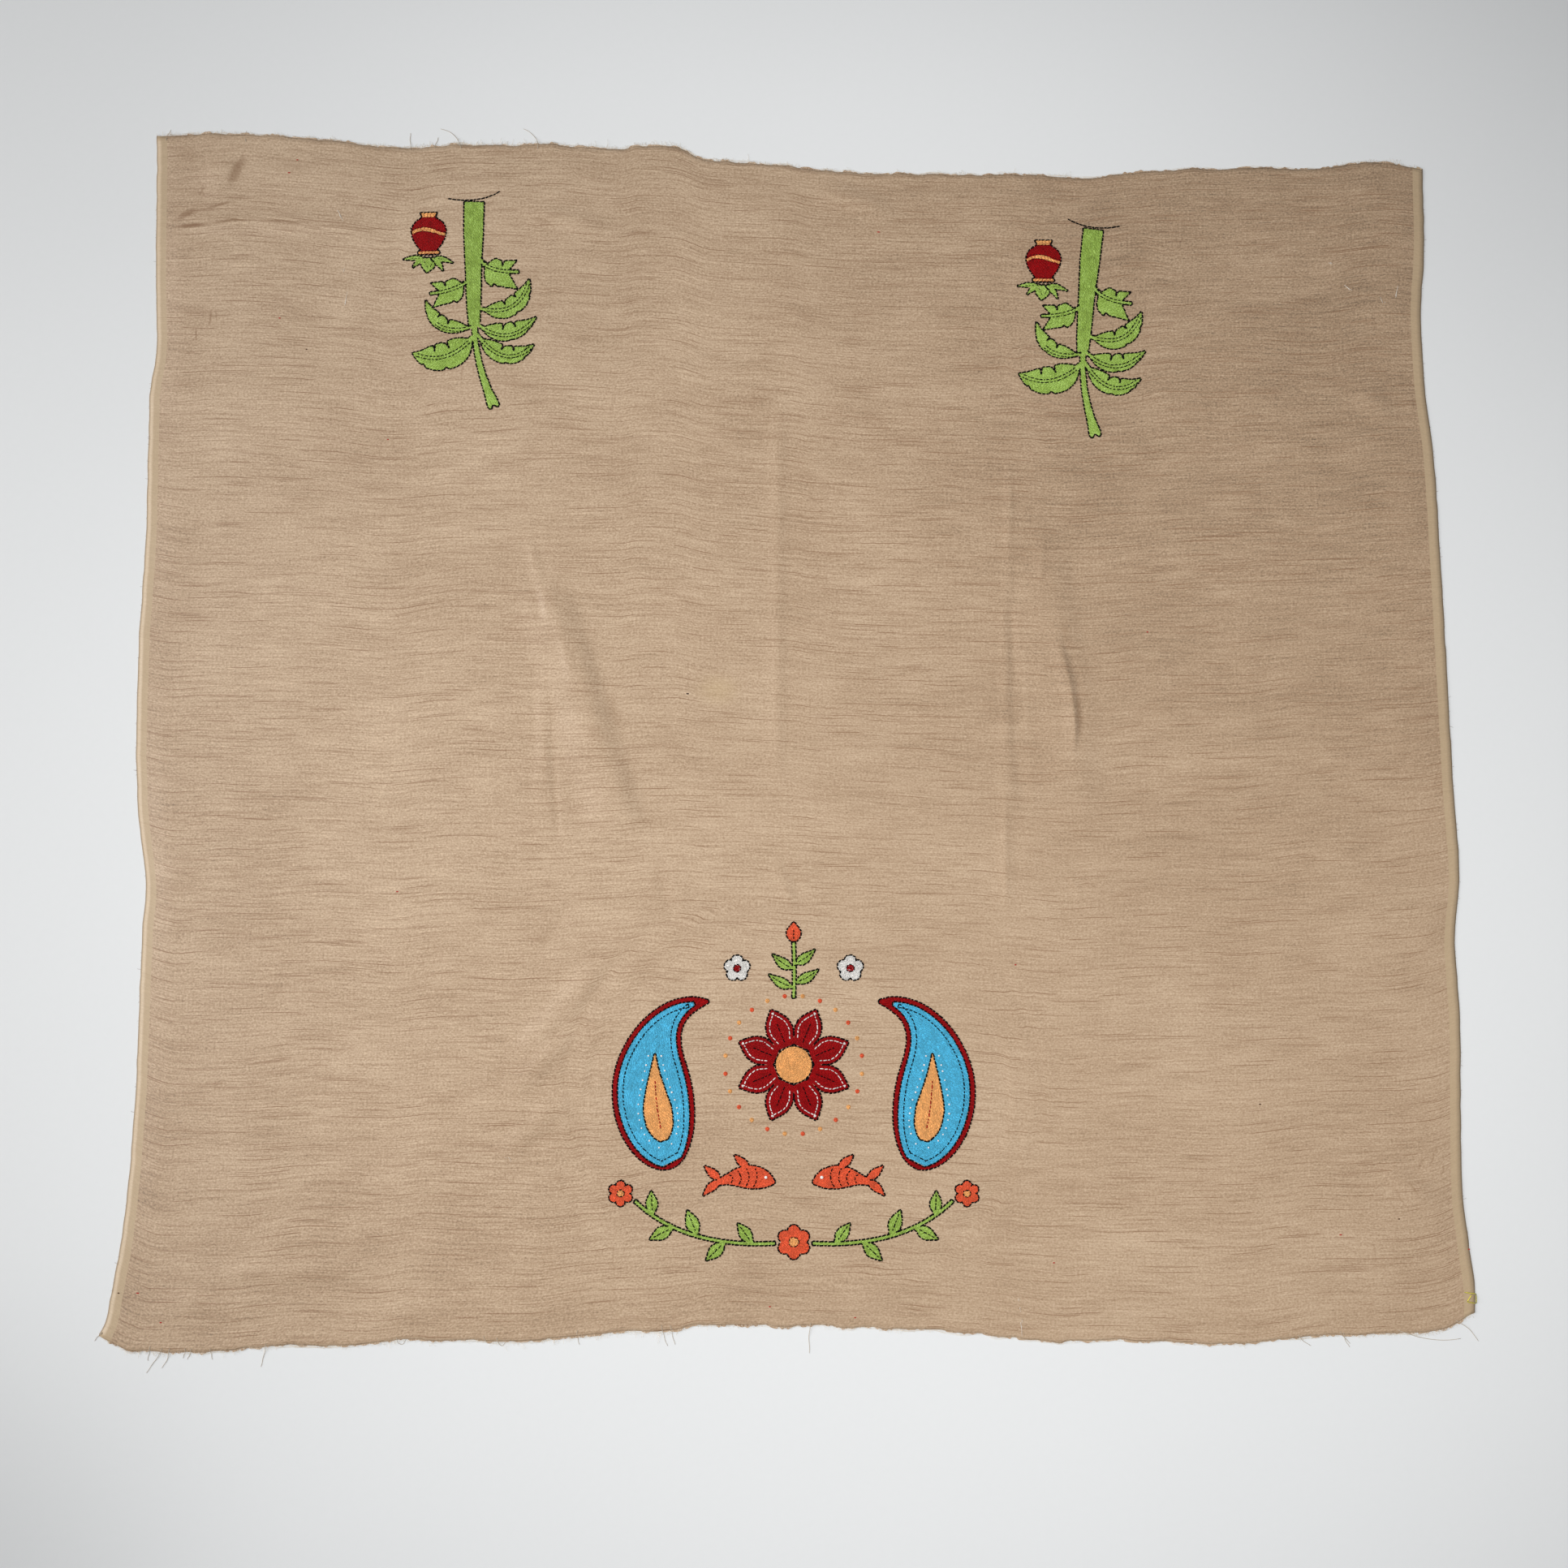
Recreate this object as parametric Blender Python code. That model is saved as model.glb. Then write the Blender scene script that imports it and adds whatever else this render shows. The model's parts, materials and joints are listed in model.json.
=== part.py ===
"""A cut length of embroidered slub silk, laid out flat.

One woven sheet, with its selvages at left and right and its raw cut edges at top and bottom, lying
in low folds on a surface. Each filled area of the embroidery worked on it is a thin raised pad.
Metres, +Z up, +Y towards the end with the two plants. The origin is under the middle of the sheet.
"""
import math
from collections import namedtuple

import bmesh
import bpy
from mathutils import Matrix, Vector, geometry

MM = 0.001

# The sheet and the pads, in millimetres
SHEET_THICKNESS = 1.0
PAD_CLEARANCE = 0.3
PAD_THICKNESS = 0.8
NEIGHBOUR_GAP = 0.4
HALF_WIDTH = 573.0
HALF_LENGTH = 527.0

# The four edges as the sheet lies. Side edges: y, x. Cut edges: x, y.
LEFT_EDGE = [
    (-513, -573), (-501, -568), (-467, -562), (-426, -556), (-359, -551), (-301, -549), (-182, -548),
    (-140, -546), (-116, -549), (-62, -556), (2, -559), (70, -559), (165, -556), (286, -557),
    (331, -552), (405, -555), (492, -557), (524, -558),
]
RIGHT_EDGE = [
    (-495, 572), (-476, 573), (-446, 570), (-392, 565), (-249, 568), (-186, 566), (-128, 572),
    (-44, 569), (95, 566), (237, 562), (275, 558), (301, 556), (355, 555), (426, 560), (494, 561),
]
BOTTOM_EDGE = [
    (-573, -513), (-554, -523), (-541, -527), (-487, -527), (-407, -521), (-358, -521), (-313, -517),
    (-222, -518), (-162, -512), (-91, -508), (-68, -505), (101, -508), (146, -511), (229, -519),
    (251, -518), (374, -520), (451, -513), (520, -512), (546, -508), (560, -502), (572, -495),
]
TOP_EDGE = [
    (-558, 524), (-493, 527), (-397, 520), (-334, 513), (-282, 517), (-208, 517), (-147, 513),
    (-132, 516), (-101, 514), (-69, 503), (6, 497), (17, 494), (86, 490), (194, 489), (250, 486),
    (307, 492), (366, 495), (469, 495), (522, 500), (548, 498), (561, 494),
]

# Where the sheet is divided, closer together where it is folded: from, to, pitch
STATIONS_ACROSS = [
    (-573, -513, 20), (-513, -477, 9), (-477, -248, 23), (-248, -112, 8), (-112, -20, 23),
    (-20, 4, 4), (4, 176, 24), (176, 204, 4), (204, 260, 5.6), (260, 488, 24), (488, 560, 9), (560, 573, 13),
]
STATIONS_UP = [
    (-527, -503, 12), (-503, -455, 8), (-455, -370, 17), (-370, -200, 10), (-200, -110, 15),
    (-110, 230, 20), (230, 310, 10), (310, 430, 24), (430, 478, 6), (478, 514, 12), (514, 527, 13),
]

# Low folds and old creases. A path runs up the sheet or to the right along the crest. rise is the
# crest's height, left and right how far the slopes reach on each side, fade how long each end dies out.
Fold = namedtuple("Fold", "rise left right fade path")
FOLDS = [
    Fold(4.2, 38, 21, 56, [(-128, -112), (-143, -68), (-168, -8), (-183, 66), (-214, 135)]),
    Fold(2.4, 36, 26, 60, [(246, -95), (250, -30), (246, 35), (226, 90), (219, 180)]),
    Fold(0.8, 9, 9, 50, [(188, -170), (184, -75), (190, 60), (193, 237)]),
    Fold(0.9, 10, 10, 70, [(-9, -70), (-9, 120), (-8, 300)]),
    Fold(1.0, 11, 11, 50, [(-210, -90), (-208, -20), (-206, 60)]),
    Fold(2.4, 15, 15, 45, [(-238, -292), (-190, -246), (-150, -196)]),
    Fold(2.0, 14, 14, 40, [(-240, -322), (-205, -282), (-170, -250)]),
    Fold(2.0, 14, 14, 40, [(-252, -378), (-215, -342), (-178, -314)]),
    Fold(2.4, 12, 12, 60, [(-548, 446), (-460, 444), (-362, 445)]),
    Fold(1.8, 26, 11, 20, [(-506, 462), (-497, 488), (-489, 512)]),
    Fold(2.2, 15, 15, 32, [(20, 484), (60, 466), (104, 446)]),
    Fold(2.0, 12, 12, 40, [(-240, 458), (-195, 448), (-146, 438)]),
    Fold(2.6, 13, 13, 26, [(490, 300), (510, 284), (532, 264)]),
    Fold(2.0, 12, 12, 50, [(-500, -464), (-430, -466), (-350, -463)]),
    Fold(1.8, 11, 11, 40, [(-530, -484), (-480, -488), (-425, -492)]),
    Fold(2.2, 13, 13, 30, [(492, -372), (515, -388), (545, -406)]),
]

# Threads and cloth: colour, roughness
FINISHES = {
    "silk": ((0.515, 0.366, 0.246), 0.62),
    "green_thread": ((0.262, 0.402, 0.080), 0.55),
    "blue_thread": ((0.080, 0.467, 0.701), 0.50),
    "red_thread": ((0.305, 0.010, 0.017), 0.50),
    "orange_thread": ((0.761, 0.105, 0.040), 0.50),
    "yellow_thread": ((0.871, 0.352, 0.061), 0.50),
    "white_thread": ((0.760, 0.750, 0.720), 0.55),
    "black_thread": ((0.012, 0.012, 0.013), 0.55),
}

# Where each motif stands, in millimetres: x, y, turn in degrees
PLANT_PLACES = {"left": (-276, 464, 183.0), "right": (269, 439, 176.5)}
POT_PLACES = {"left": (-316, 454, 181.0), "right": (225, 429, 179.0)}
MIDDLE = (5, -315, 0.0)

# A plant upright on its ground line: millimetres
TRUNK_ROWS = [(0.0, 8.7, 8.7), (0.28, 8.4, 8.4), (0.55, 7.0, 7.0), (0.86, 6.0, 6.0), (1.0, 4.8, 4.8)]
TRUNK_PATH = [(0, 0), (3.6, 50), (4.2, 112)]
SHOOT_PATH = [(4, 108), (5, 148), (-6, 170), (-10.5, 187)]
SHOOT_ROWS = [
    (0.0, 2.6, 2.6), (0.15, 2.2, 2.2), (0.35, 2.4, 2.4), (0.55, 2.9, 2.9), (0.72, 3.4, 3.4), (0.84, 4.5, 4.3),
    (0.93, 5.2, 5.0), (0.98, 4.7, 4.4), (1.0, 3.1, 2.8), (0.94, 0.3, 0.3),
]
GROUND_PATH = [(-23, -8.4), (-9, -0.2), (9, -0.2), (23, -4.4)]
GROUND_HALF_WIDTH = 0.6

# Leaves on the trunk. side is -1 or 1, root, bend and tip lead the middle line out of the trunk, low and
# high are the blade's half widths towards the ground and away from it.
Leaf = namedtuple("Leaf", "side root bend tip low high torn")
PLANT_LEAVES = [
    Leaf(-1, (-2, 52), (-11, 65), (-36.5, 65), 9.5, 15, True),
    Leaf(-1, (1, 96), (-36, 109), (-45.5, 72), 8, 8, False),
    Leaf(-1, (2, 111), (-26, 136), (-50.5, 107), 10.5, 5, False),
    Leaf(-1, (3, 119), (-21, 157), (-47.5, 132), 9, 6.6, False),
    Leaf(1, (5, 69), (18, 80), (42, 81), 9, 12, True),
    Leaf(1, (2, 113), (43, 123), (46, 86.5), 8.8, 3.2, False),
    Leaf(1, (3, 120), (29, 150), (59, 134), 12, 12, False),
]
# Blade outlines: along the leaf, then the half width towards the ground and away from it as shares
WHOLE_BLADE = [
    (0.00, 0.18, 0.18), (0.10, 0.20, 0.20), (0.15, 0.58, 0.48), (0.24, 0.90, 0.82), (0.34, 1.02, 0.98),
    (0.38, 0.98, 1.00), (0.40, 0.42, 1.00), (0.43, 0.88, 1.00), (0.50, 1.06, 0.98), (0.53, 1.08, 0.76),
    (0.57, 1.06, 0.94), (0.65, 1.02, 0.92), (0.67, 0.44, 0.90), (0.70, 0.90, 0.86), (0.78, 0.84, 0.74),
    (0.81, 0.74, 0.50), (0.85, 0.60, 0.56), (0.93, 0.30, 0.30), (1.00, 0.03, 0.03),
]
TORN_BLADE = [
    (0.00, 0.22, 0.14), (0.28, 0.20, 0.13), (0.34, 0.66, 0.50), (0.42, 0.98, 0.84), (0.50, 1.02, 0.98),
    (0.55, 0.98, 1.04), (0.58, 0.94, 0.80), (0.64, 0.90, 0.94), (0.67, 0.40, 0.94), (0.71, 0.98, 0.92),
    (0.97, 1.06, 1.04), (0.82, 0.16, 0.11), (1.00, 0.13, 0.09),
]

# A round pot upright on its foot: along its height, then each half width
POT_HEIGHT = 37.4
POT_ROWS = [
    (0.00, 7.5, 7.5), (0.05, 6.6, 6.6), (0.10, 5.7, 5.7), (0.20, 10.8, 10.8), (0.30, 13.8, 13.8),
    (0.43, 15.2, 15.2), (0.55, 14.6, 14.6), (0.70, 12.4, 12.4), (0.82, 9.4, 9.4), (0.91, 7.0, 7.0),
    (0.925, 9.2, 9.2), (0.985, 9.6, 9.6), (1.00, 8.6, 8.6),
]
# Leaves in the pot: middle line, half width
POT_LEAVES = [
    ([(-2.4, 41.2), (-11.0, 40.2), (-21.5, 45.7)], 2.3),
    ([(-2.2, 41.2), (-9.0, 43.5), (-12.6, 53.0)], 2.4),
    ([(0.3, 40.6), (0.4, 47.0), (2.0, 54.0)], 6.2),
    ([(2.2, 41.2), (9.5, 42.5), (14.3, 49.5)], 2.2),
    ([(2.4, 41.2), (12.0, 39.6), (23.0, 41.8)], 2.1),
]

# The middle design, upright about its own centre: millimetres
LOTUS_CENTRE = (0, 25)
LOTUS_PETALS = 8
LOTUS_INNER = 16.0
LOTUS_OUTER = 50.0
PETAL_ROWS = [
    (0.00, 7.0, 7.0), (0.20, 9.2, 9.2), (0.42, 11.2, 11.2), (0.60, 10.4, 10.4), (0.78, 7.0, 7.0),
    (0.92, 2.8, 2.8), (1.00, 0.3, 0.3),
]
PAISLEY_PATH = [(100, -60), (128, -10), (132, 75), (72, 78)]
PAISLEY_WIDTHS = [
    (0.0, 3.5), (0.010, 8.5), (0.03, 13.8), (0.06, 19.0), (0.10, 24.0), (0.16, 29.0), (0.24, 32.6),
    (0.32, 33.8), (0.40, 32.8), (0.48, 29.8), (0.56, 25.2), (0.64, 20.3), (0.72, 15.6), (0.80, 11.6),
    (0.88, 8.0), (0.94, 5.2), (1.0, 1.2),
]
PAISLEY_BORDER = 4.0
PAISLEY_HEART_PATH = [(109, -38), (118, -8), (117, 34)]
PAISLEY_HEART_ROWS = [
    (0.00, 3.5, 3.5), (0.08, 7.8, 7.8), (0.22, 11.2, 11.2), (0.38, 11.8, 11.8), (0.60, 8.4, 8.4),
    (0.82, 3.8, 3.8), (1.00, 0.4, 0.4),
]
HEART_HOLE_GROWTH = 1.05
VINE_PATH = [(15.5, -123), (70, -126), (108, -112), (133, -88)]
VINE_HALF_WIDTH = 1.4
# Leaves on the vine: along the vine, side, length, half width
VINE_LEAVES = [
    (0.12, 1, 21, 5.0), (0.28, -1, 22, 5.2), (0.46, 1, 23, 5.4), (0.64, -1, 22, 5.2), (0.82, 1, 20, 4.8),
]
VINE_LEAF_ANGLE = 52.0
# Flowers: name, x, y, petals, reach of a petal, thread
FLOWERS = [
    ("flower_middle", 0, -122, 6, 14.0, "orange_thread"),
    ("flower_left", -145, -82, 6, 10.5, "orange_thread"),
    ("flower_right", 145, -82, 6, 10.5, "orange_thread"),
    ("blossom_left", -48, 106, 5, 11.0, "white_thread"),
    ("blossom_right", 48, 106, 5, 11.0, "white_thread"),
]
FISH_PATH = [(16, -73), (40, -64), (64, -73)]
FISH_ROWS = [
    (0.00, 1.0, 1.0), (0.08, 4.6, 4.6), (0.22, 8.4, 8.0), (0.42, 9.8, 9.2), (0.62, 8.0, 7.6),
    (0.84, 4.0, 4.0), (1.00, 2.4, 2.4),
]
# Tail and fins of a fish: three corner paths, each a small leaf shape with its half width
FISH_FINS = [
    ([(60, -71), (68, -66), (75, -59)], 3.6),
    ([(60, -71), (69, -75), (76, -84)], 3.6),
    ([(36, -62), (44, -56), (50, -50)], 3.4),
]
SPRIG_STEM = [(0, 81), (1, 104), (0, 128)]
# Leaves on the sprig: side, root, reach, rise
SPRIG_LEAVES = [(-1, 90, 21, 11), (1, 94, 21, 11), (-1, 106, 18, 12), (1, 110, 18, 12)]
SPRIG_LEAF_HALF = 4.2
BUD_PATH = [(0, 129), (0, 137), (0, 145)]
BUD_ROWS = [(0.0, 2.4, 2.4), (0.2, 5.4, 5.4), (0.45, 6.2, 6.2), (0.75, 3.8, 3.8), (1.0, 0.4, 0.4)]
SMALL_LEAF = [
    (0.00, 0.26, 0.26), (0.16, 0.46, 0.46), (0.34, 0.94, 0.94), (0.52, 1.00, 1.00), (0.74, 0.66, 0.66),
    (0.90, 0.28, 0.28), (1.00, 0.06, 0.06),
]
FLOWER_PETAL = [
    (0.0, 0.30, 0.30), (0.30, 0.62, 0.62), (0.62, 1.00, 1.00), (0.84, 0.80, 0.80), (1.0, 0.30, 0.30),
]


def empty_the_scene():
    for thing in list(bpy.data.objects):
        bpy.data.objects.remove(thing, do_unlink=True)


def finish(name):
    """The cloth's or a thread's material."""
    colour, roughness = FINISHES[name]
    material = bpy.data.materials.get(name)
    if material is None:
        material = bpy.data.materials.new(name)
        material.use_nodes = True
        shader = material.node_tree.nodes["Principled BSDF"]
        shader.inputs["Base Color"].default_value = (*colour, 1.0)
        shader.inputs["Roughness"].default_value = roughness
        shader.inputs["Metallic"].default_value = 0.0
    return material


def smooth_between(table, at):
    """Read a two-column table at a value, by a curve that never bulges past its rows."""
    at = min(max(at, table[0][0]), table[-1][0])
    slopes = [(b[1] - a[1]) / (b[0] - a[0]) for a, b in zip(table, table[1:])]
    tangents = [slopes[0]]
    for before, after in zip(slopes, slopes[1:]):
        level = before * after <= 0
        tangents.append(0.0 if level else 2 * before * after / (before + after))
    tangents.append(slopes[-1])
    for i in range(len(slopes)):
        if at <= table[i + 1][0]:
            break
    span = table[i + 1][0] - table[i][0]
    u = (at - table[i][0]) / span
    start = (1 + 2 * u) * (1 - u) ** 2 * table[i][1] + u * (1 - u) ** 2 * span * tangents[i]
    end = u * u * (3 - 2 * u) * table[i + 1][1] + u * u * (u - 1) * span * tangents[i + 1]
    return start + end


def straight_between(table, at):
    """Read a two-column table at a value, by straight lines between its rows."""
    for (low, first), (high, second) in zip(table, table[1:]):
        if at <= high:
            return first + (second - first) * (at - low) / (high - low)
    return table[-1][1]


def edge_point(table, share, cut_edge):
    """A point on one edge of the sheet, share being how far along it, 0 to 1."""
    along = table[0][0] + share * (table[-1][0] - table[0][0])
    across = smooth_between(table, along)
    return Vector((along, across)) if cut_edge else Vector((across, along))


def sheet_point(s, t):
    """Where the point s of the width and t of the length lies, blended between the four edges."""
    bottom = edge_point(BOTTOM_EDGE, s, True)
    top = edge_point(TOP_EDGE, s, True)
    left = edge_point(LEFT_EDGE, t, False)
    right = edge_point(RIGHT_EDGE, t, False)
    corners = [edge_point(table, end, True) for table in (BOTTOM_EDGE, TOP_EDGE) for end in (0, 1)]
    ruled = (1 - t) * bottom + t * top + (1 - s) * left + s * right
    low, high = ((1 - s) * a + s * b for a, b in (corners[:2], corners[2:]))
    return ruled - ((1 - t) * low + t * high)


def bezier(path, u):
    """The point at u, 0 to 1, of the curve that the path's points control."""
    points = [Vector(p) for p in path]
    while len(points) > 1:
        points = [a.lerp(b, u) for a, b in zip(points, points[1:])]
    return points[0]


def curve_points(path, steps):
    return [bezier(path, i / steps) for i in range(steps + 1)]


def fold_height(fold, crest, point):
    """How far one fold lifts the sheet at a point, in millimetres."""
    nearest = None
    travelled = 0.0
    whole = sum((b - a).length for a, b in zip(crest, crest[1:]))
    for a, b in zip(crest, crest[1:]):
        run = b - a
        u = min(max((point - a).dot(run) / run.length_squared, 0.0), 1.0)
        off = point - (a + u * run)
        side = run.x * off.y - run.y * off.x
        if nearest is None or off.length < nearest[0]:
            nearest = (off.length, side, travelled + u * run.length)
        travelled += run.length
    distance, side, along = nearest
    reach = fold.left if side > 0 else fold.right
    if distance >= reach:
        return 0.0
    end = min(along, whole - along) / fold.fade
    dying = 1.0 if end >= 1 else end * end * (3 - 2 * end)
    return fold.rise * dying * (1 - (distance / reach) ** 2) ** 2


def stations(zones, half):
    """Shares of the sheet, 0 to 1, at each zone's pitch."""
    found = [0.0]
    for low, high, pitch in zones:
        count = max(1, round((high - low) / pitch))
        found += [(low + (high - low) * (i + 1) / count + half) / (2 * half) for i in range(count)]
    return found


def make_sheet():
    """The woven sheet, flat on the surface but for its folds."""
    crests = [curve_points(fold.path, 10) for fold in FOLDS]
    across = stations(STATIONS_ACROSS, HALF_WIDTH)
    up = stations(STATIONS_UP, HALF_LENGTH)
    mesh = bpy.data.meshes.new("cloth")
    build = bmesh.new()
    rows = []
    for t in up:
        row = []
        for s in across:
            point = sheet_point(s, t)
            height = max(fold_height(fold, crest, point) for fold, crest in zip(FOLDS, crests))
            row.append(build.verts.new((point.x * MM, point.y * MM, height * MM)))
        rows.append(row)
    for low, high in zip(rows, rows[1:]):
        for a, b, c, d in zip(low, low[1:], high[1:], high):
            build.faces.new((a, b, c, d))
    build.to_mesh(mesh)
    build.free()
    mesh.shade_smooth()
    cloth = bpy.data.objects.new("cloth", mesh)
    bpy.context.collection.objects.link(cloth)
    mesh.materials.append(finish("silk"))
    thickness = cloth.modifiers.new("thickness", "SOLIDIFY")
    thickness.thickness = SHEET_THICKNESS * MM
    thickness.offset = 1.0


def swept(path, rows, scale=1.0):
    """The outline of a shape along a curve, from rows of: along, half width left, half width right."""
    left, right = [], []
    for along, wide_left, wide_right in rows:
        point = bezier(path, along)
        ahead = bezier(path, min(along + 0.01, 1.0)) - bezier(path, max(along - 0.01, 0.0))
        normal = Vector((-ahead.y, ahead.x)).normalized()
        left.append(point + normal * wide_left * scale)
        right.append(point - normal * wide_right * scale)
    return left + right[::-1]


def mirrored(outline):
    return [Vector((-p.x, p.y)) for p in outline]


def grown(outline, factor):
    middle = sum(outline, Vector((0, 0))) / len(outline)
    return [middle + (p - middle) * factor for p in outline]


def placed(outline, place):
    """An outline turned and moved to its place on the sheet."""
    x, y, turn = place
    c, s = math.cos(math.radians(turn)), math.sin(math.radians(turn))
    return [Vector((x + c * p.x - s * p.y, y + s * p.x + c * p.y)) for p in outline]


def counter_clockwise(outline):
    area = sum(a.x * b.y - b.x * a.y for a, b in zip(outline, outline[1:] + outline[:1]))
    return outline if area > 0 else outline[::-1]


def pad(name, thread, place, outlines, holes=()):
    """A raised pad of stitches: outlines that overlap, fused flat, less the holes, then thickened."""
    points, faces = [], []
    for outline in (*outlines, *holes):
        first = len(points)
        points += counter_clockwise(placed(outline, place))
        faces.append(list(range(first, len(points))))
    flat = geometry.delaunay_2d_cdt(points, [], faces, 0, 1e-5)
    corners, triangles, sources = flat[0], flat[2], flat[5]
    hollow = set(range(len(outlines), len(faces)))
    mesh = bpy.data.meshes.new(name)
    build = bmesh.new()
    low = (SHEET_THICKNESS + PAD_CLEARANCE) * MM
    verts = [build.verts.new((p.x * MM, p.y * MM, low)) for p in corners]
    for triangle, found in zip(triangles, sources):
        if found and not hollow.intersection(found):
            build.faces.new([verts[i] for i in triangle])
    bmesh.ops.delete(build, geom=[v for v in build.verts if not v.link_faces], context="VERTS")
    grown_part = bmesh.ops.extrude_face_region(build, geom=build.faces[:])["geom"]
    top = [item for item in grown_part if isinstance(item, bmesh.types.BMVert)]
    bmesh.ops.translate(build, verts=top, vec=(0, 0, PAD_THICKNESS * MM))
    bmesh.ops.recalc_face_normals(build, faces=build.faces[:])
    build.to_mesh(mesh)
    build.free()
    mesh.materials.append(finish(thread))
    thing = bpy.data.objects.new(name, mesh)
    bpy.context.collection.objects.link(thing)


def leaf_rows(leaf):
    """A leaf's half widths to the left and right of its middle line, which runs out from the trunk."""
    blade = TORN_BLADE if leaf.torn else WHOLE_BLADE
    rows = [(along, low * leaf.low, high * leaf.high) for along, low, high in blade]
    return rows if leaf.side < 0 else [(along, high, low) for along, low, high in rows]


def make_plant(side):
    """One broad-leaved plant with its shoot, and the ground line that it stands on."""
    place = PLANT_PLACES[side]
    shapes = [swept(TRUNK_PATH, TRUNK_ROWS), swept(SHOOT_PATH, SHOOT_ROWS)]
    shapes += [swept([leaf.root, leaf.bend, leaf.tip], leaf_rows(leaf)) for leaf in PLANT_LEAVES]
    pad("plant_" + side, "green_thread", place, shapes)
    rows = [(i / 10, GROUND_HALF_WIDTH, GROUND_HALF_WIDTH) for i in range(11)]
    line = swept(GROUND_PATH, rows)
    pad("ground_line_" + side, "black_thread", place, [line if side == "left" else mirrored(line)])


def make_pot(side):
    """One round pot and the leaves that stand in it."""
    place = POT_PLACES[side]
    pad("pot_" + side, "red_thread", place, [swept([(0, 0), (0, POT_HEIGHT)], POT_ROWS)])
    leaves = [swept(path, SMALL_LEAF, half) for path, half in POT_LEAVES]
    pad("pot_leaves_" + side, "green_thread", place, leaves)


def ring_of(centre, count, inner, outer, rows, scale=1.0, start=0.0):
    """Petals all round a centre."""
    found = []
    for k in range(count):
        turn = math.radians(start + 360 * k / count)
        out = Vector((math.sin(turn), math.cos(turn)))
        middle = Vector(centre)
        found.append(swept([middle + out * inner, middle + out * outer], rows, scale))
    return found


def disc(centre, radius, corners=20):
    turns = [2 * math.pi * k / corners for k in range(corners)]
    return [Vector((centre[0] + radius * math.cos(a), centre[1] + radius * math.sin(a))) for a in turns]


def make_lotus():
    petals = ring_of(LOTUS_CENTRE, LOTUS_PETALS, LOTUS_INNER, LOTUS_OUTER, PETAL_ROWS, start=22.5)
    pad("lotus_petals", "red_thread", MIDDLE, petals)
    pad("lotus_heart", "yellow_thread", MIDDLE, [disc(LOTUS_CENTRE, LOTUS_INNER - NEIGHBOUR_GAP - 0.2)])


def paisley_rows(inset, start, end):
    """The paisley's half widths drawn in by inset, between two places along it."""
    marks = [along for along, _ in PAISLEY_WIDTHS if start < along < end]
    return [(along, *[straight_between(PAISLEY_WIDTHS, along) - inset] * 2) for along in (start, *marks, end)]


def make_paisleys():
    """Two paisleys leaning in, each a border, a body inside it and a heart inside that."""
    outer = swept(PAISLEY_PATH, paisley_rows(0.0, 0.0, 1.0))
    border_hole = swept(PAISLEY_PATH, paisley_rows(PAISLEY_BORDER, 0.024, 0.93))
    body = swept(PAISLEY_PATH, paisley_rows(PAISLEY_BORDER + NEIGHBOUR_GAP, 0.028, 0.925))
    heart = swept(PAISLEY_HEART_PATH, PAISLEY_HEART_ROWS)
    heart_hole = grown(heart, HEART_HOLE_GROWTH)
    for side in ("left", "right"):
        shown = [mirrored(o) if side == "left" else o for o in (outer, border_hole, body, heart, heart_hole)]
        pad("paisley_border_" + side, "red_thread", MIDDLE, [shown[0]], [shown[1]])
        pad("paisley_" + side, "blue_thread", MIDDLE, [shown[2]], [shown[4]])
        pad("paisley_heart_" + side, "yellow_thread", MIDDLE, [shown[3]])


def make_garlands():
    """A leafy vine on each side, between the middle flower and an end flower."""
    rows = [(i / 12, VINE_HALF_WIDTH, VINE_HALF_WIDTH) for i in range(13)]
    shapes = [swept(VINE_PATH, rows)]
    for along, side, length, half in VINE_LEAVES:
        root = bezier(VINE_PATH, along)
        ahead = (bezier(VINE_PATH, along + 0.02) - root).normalized()
        turn = math.radians(VINE_LEAF_ANGLE) * side
        out = ahead.copy()
        out.rotate(Matrix.Rotation(turn, 2))
        shapes.append(swept([root, root + out * length], SMALL_LEAF, half))
    pad("garland_right", "green_thread", MIDDLE, shapes)
    pad("garland_left", "green_thread", MIDDLE, [mirrored(shape) for shape in shapes])


def make_flowers():
    for name, x, y, petals, reach, thread in FLOWERS:
        half = reach * math.pi / petals * 0.72
        ring = ring_of((x, y), petals, reach * 0.1, reach, FLOWER_PETAL, half)
        pad(name, thread, MIDDLE, [disc((x, y), reach * 0.36, 12), *ring])


def make_fish():
    shapes = [swept(FISH_PATH, FISH_ROWS)]
    shapes += [swept(path, SMALL_LEAF, half) for path, half in FISH_FINS]
    pad("fish_right", "orange_thread", MIDDLE, shapes)
    pad("fish_left", "orange_thread", MIDDLE, [mirrored(shape) for shape in shapes])


def make_sprig():
    shapes = [swept(SPRIG_STEM, [(i / 6, 1.4, 1.4) for i in range(7)])]
    for side, root, reach, rise in SPRIG_LEAVES:
        path = [(0, root), (side * reach * 0.5, root + rise * 0.2), (side * reach, root + rise)]
        shapes.append(swept(path, SMALL_LEAF, SPRIG_LEAF_HALF))
    pad("sprig", "green_thread", MIDDLE, shapes)
    pad("sprig_bud", "orange_thread", MIDDLE, [swept(BUD_PATH, BUD_ROWS)])


empty_the_scene()
make_sheet()
for side in ("left", "right"):
    make_plant(side)
    make_pot(side)
make_lotus()
make_paisleys()
make_garlands()
make_flowers()
make_fish()
make_sprig()
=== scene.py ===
"""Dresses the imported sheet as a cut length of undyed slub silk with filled, black-outlined embroidery.

The silk is one thin closed sheet on the solid's outline and folds, and every stitch is a small arched
loop of thread lying on it. Shapes are worked out in millimetres and put in metres as meshes.
"""
import json
import math
from collections import namedtuple

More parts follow.
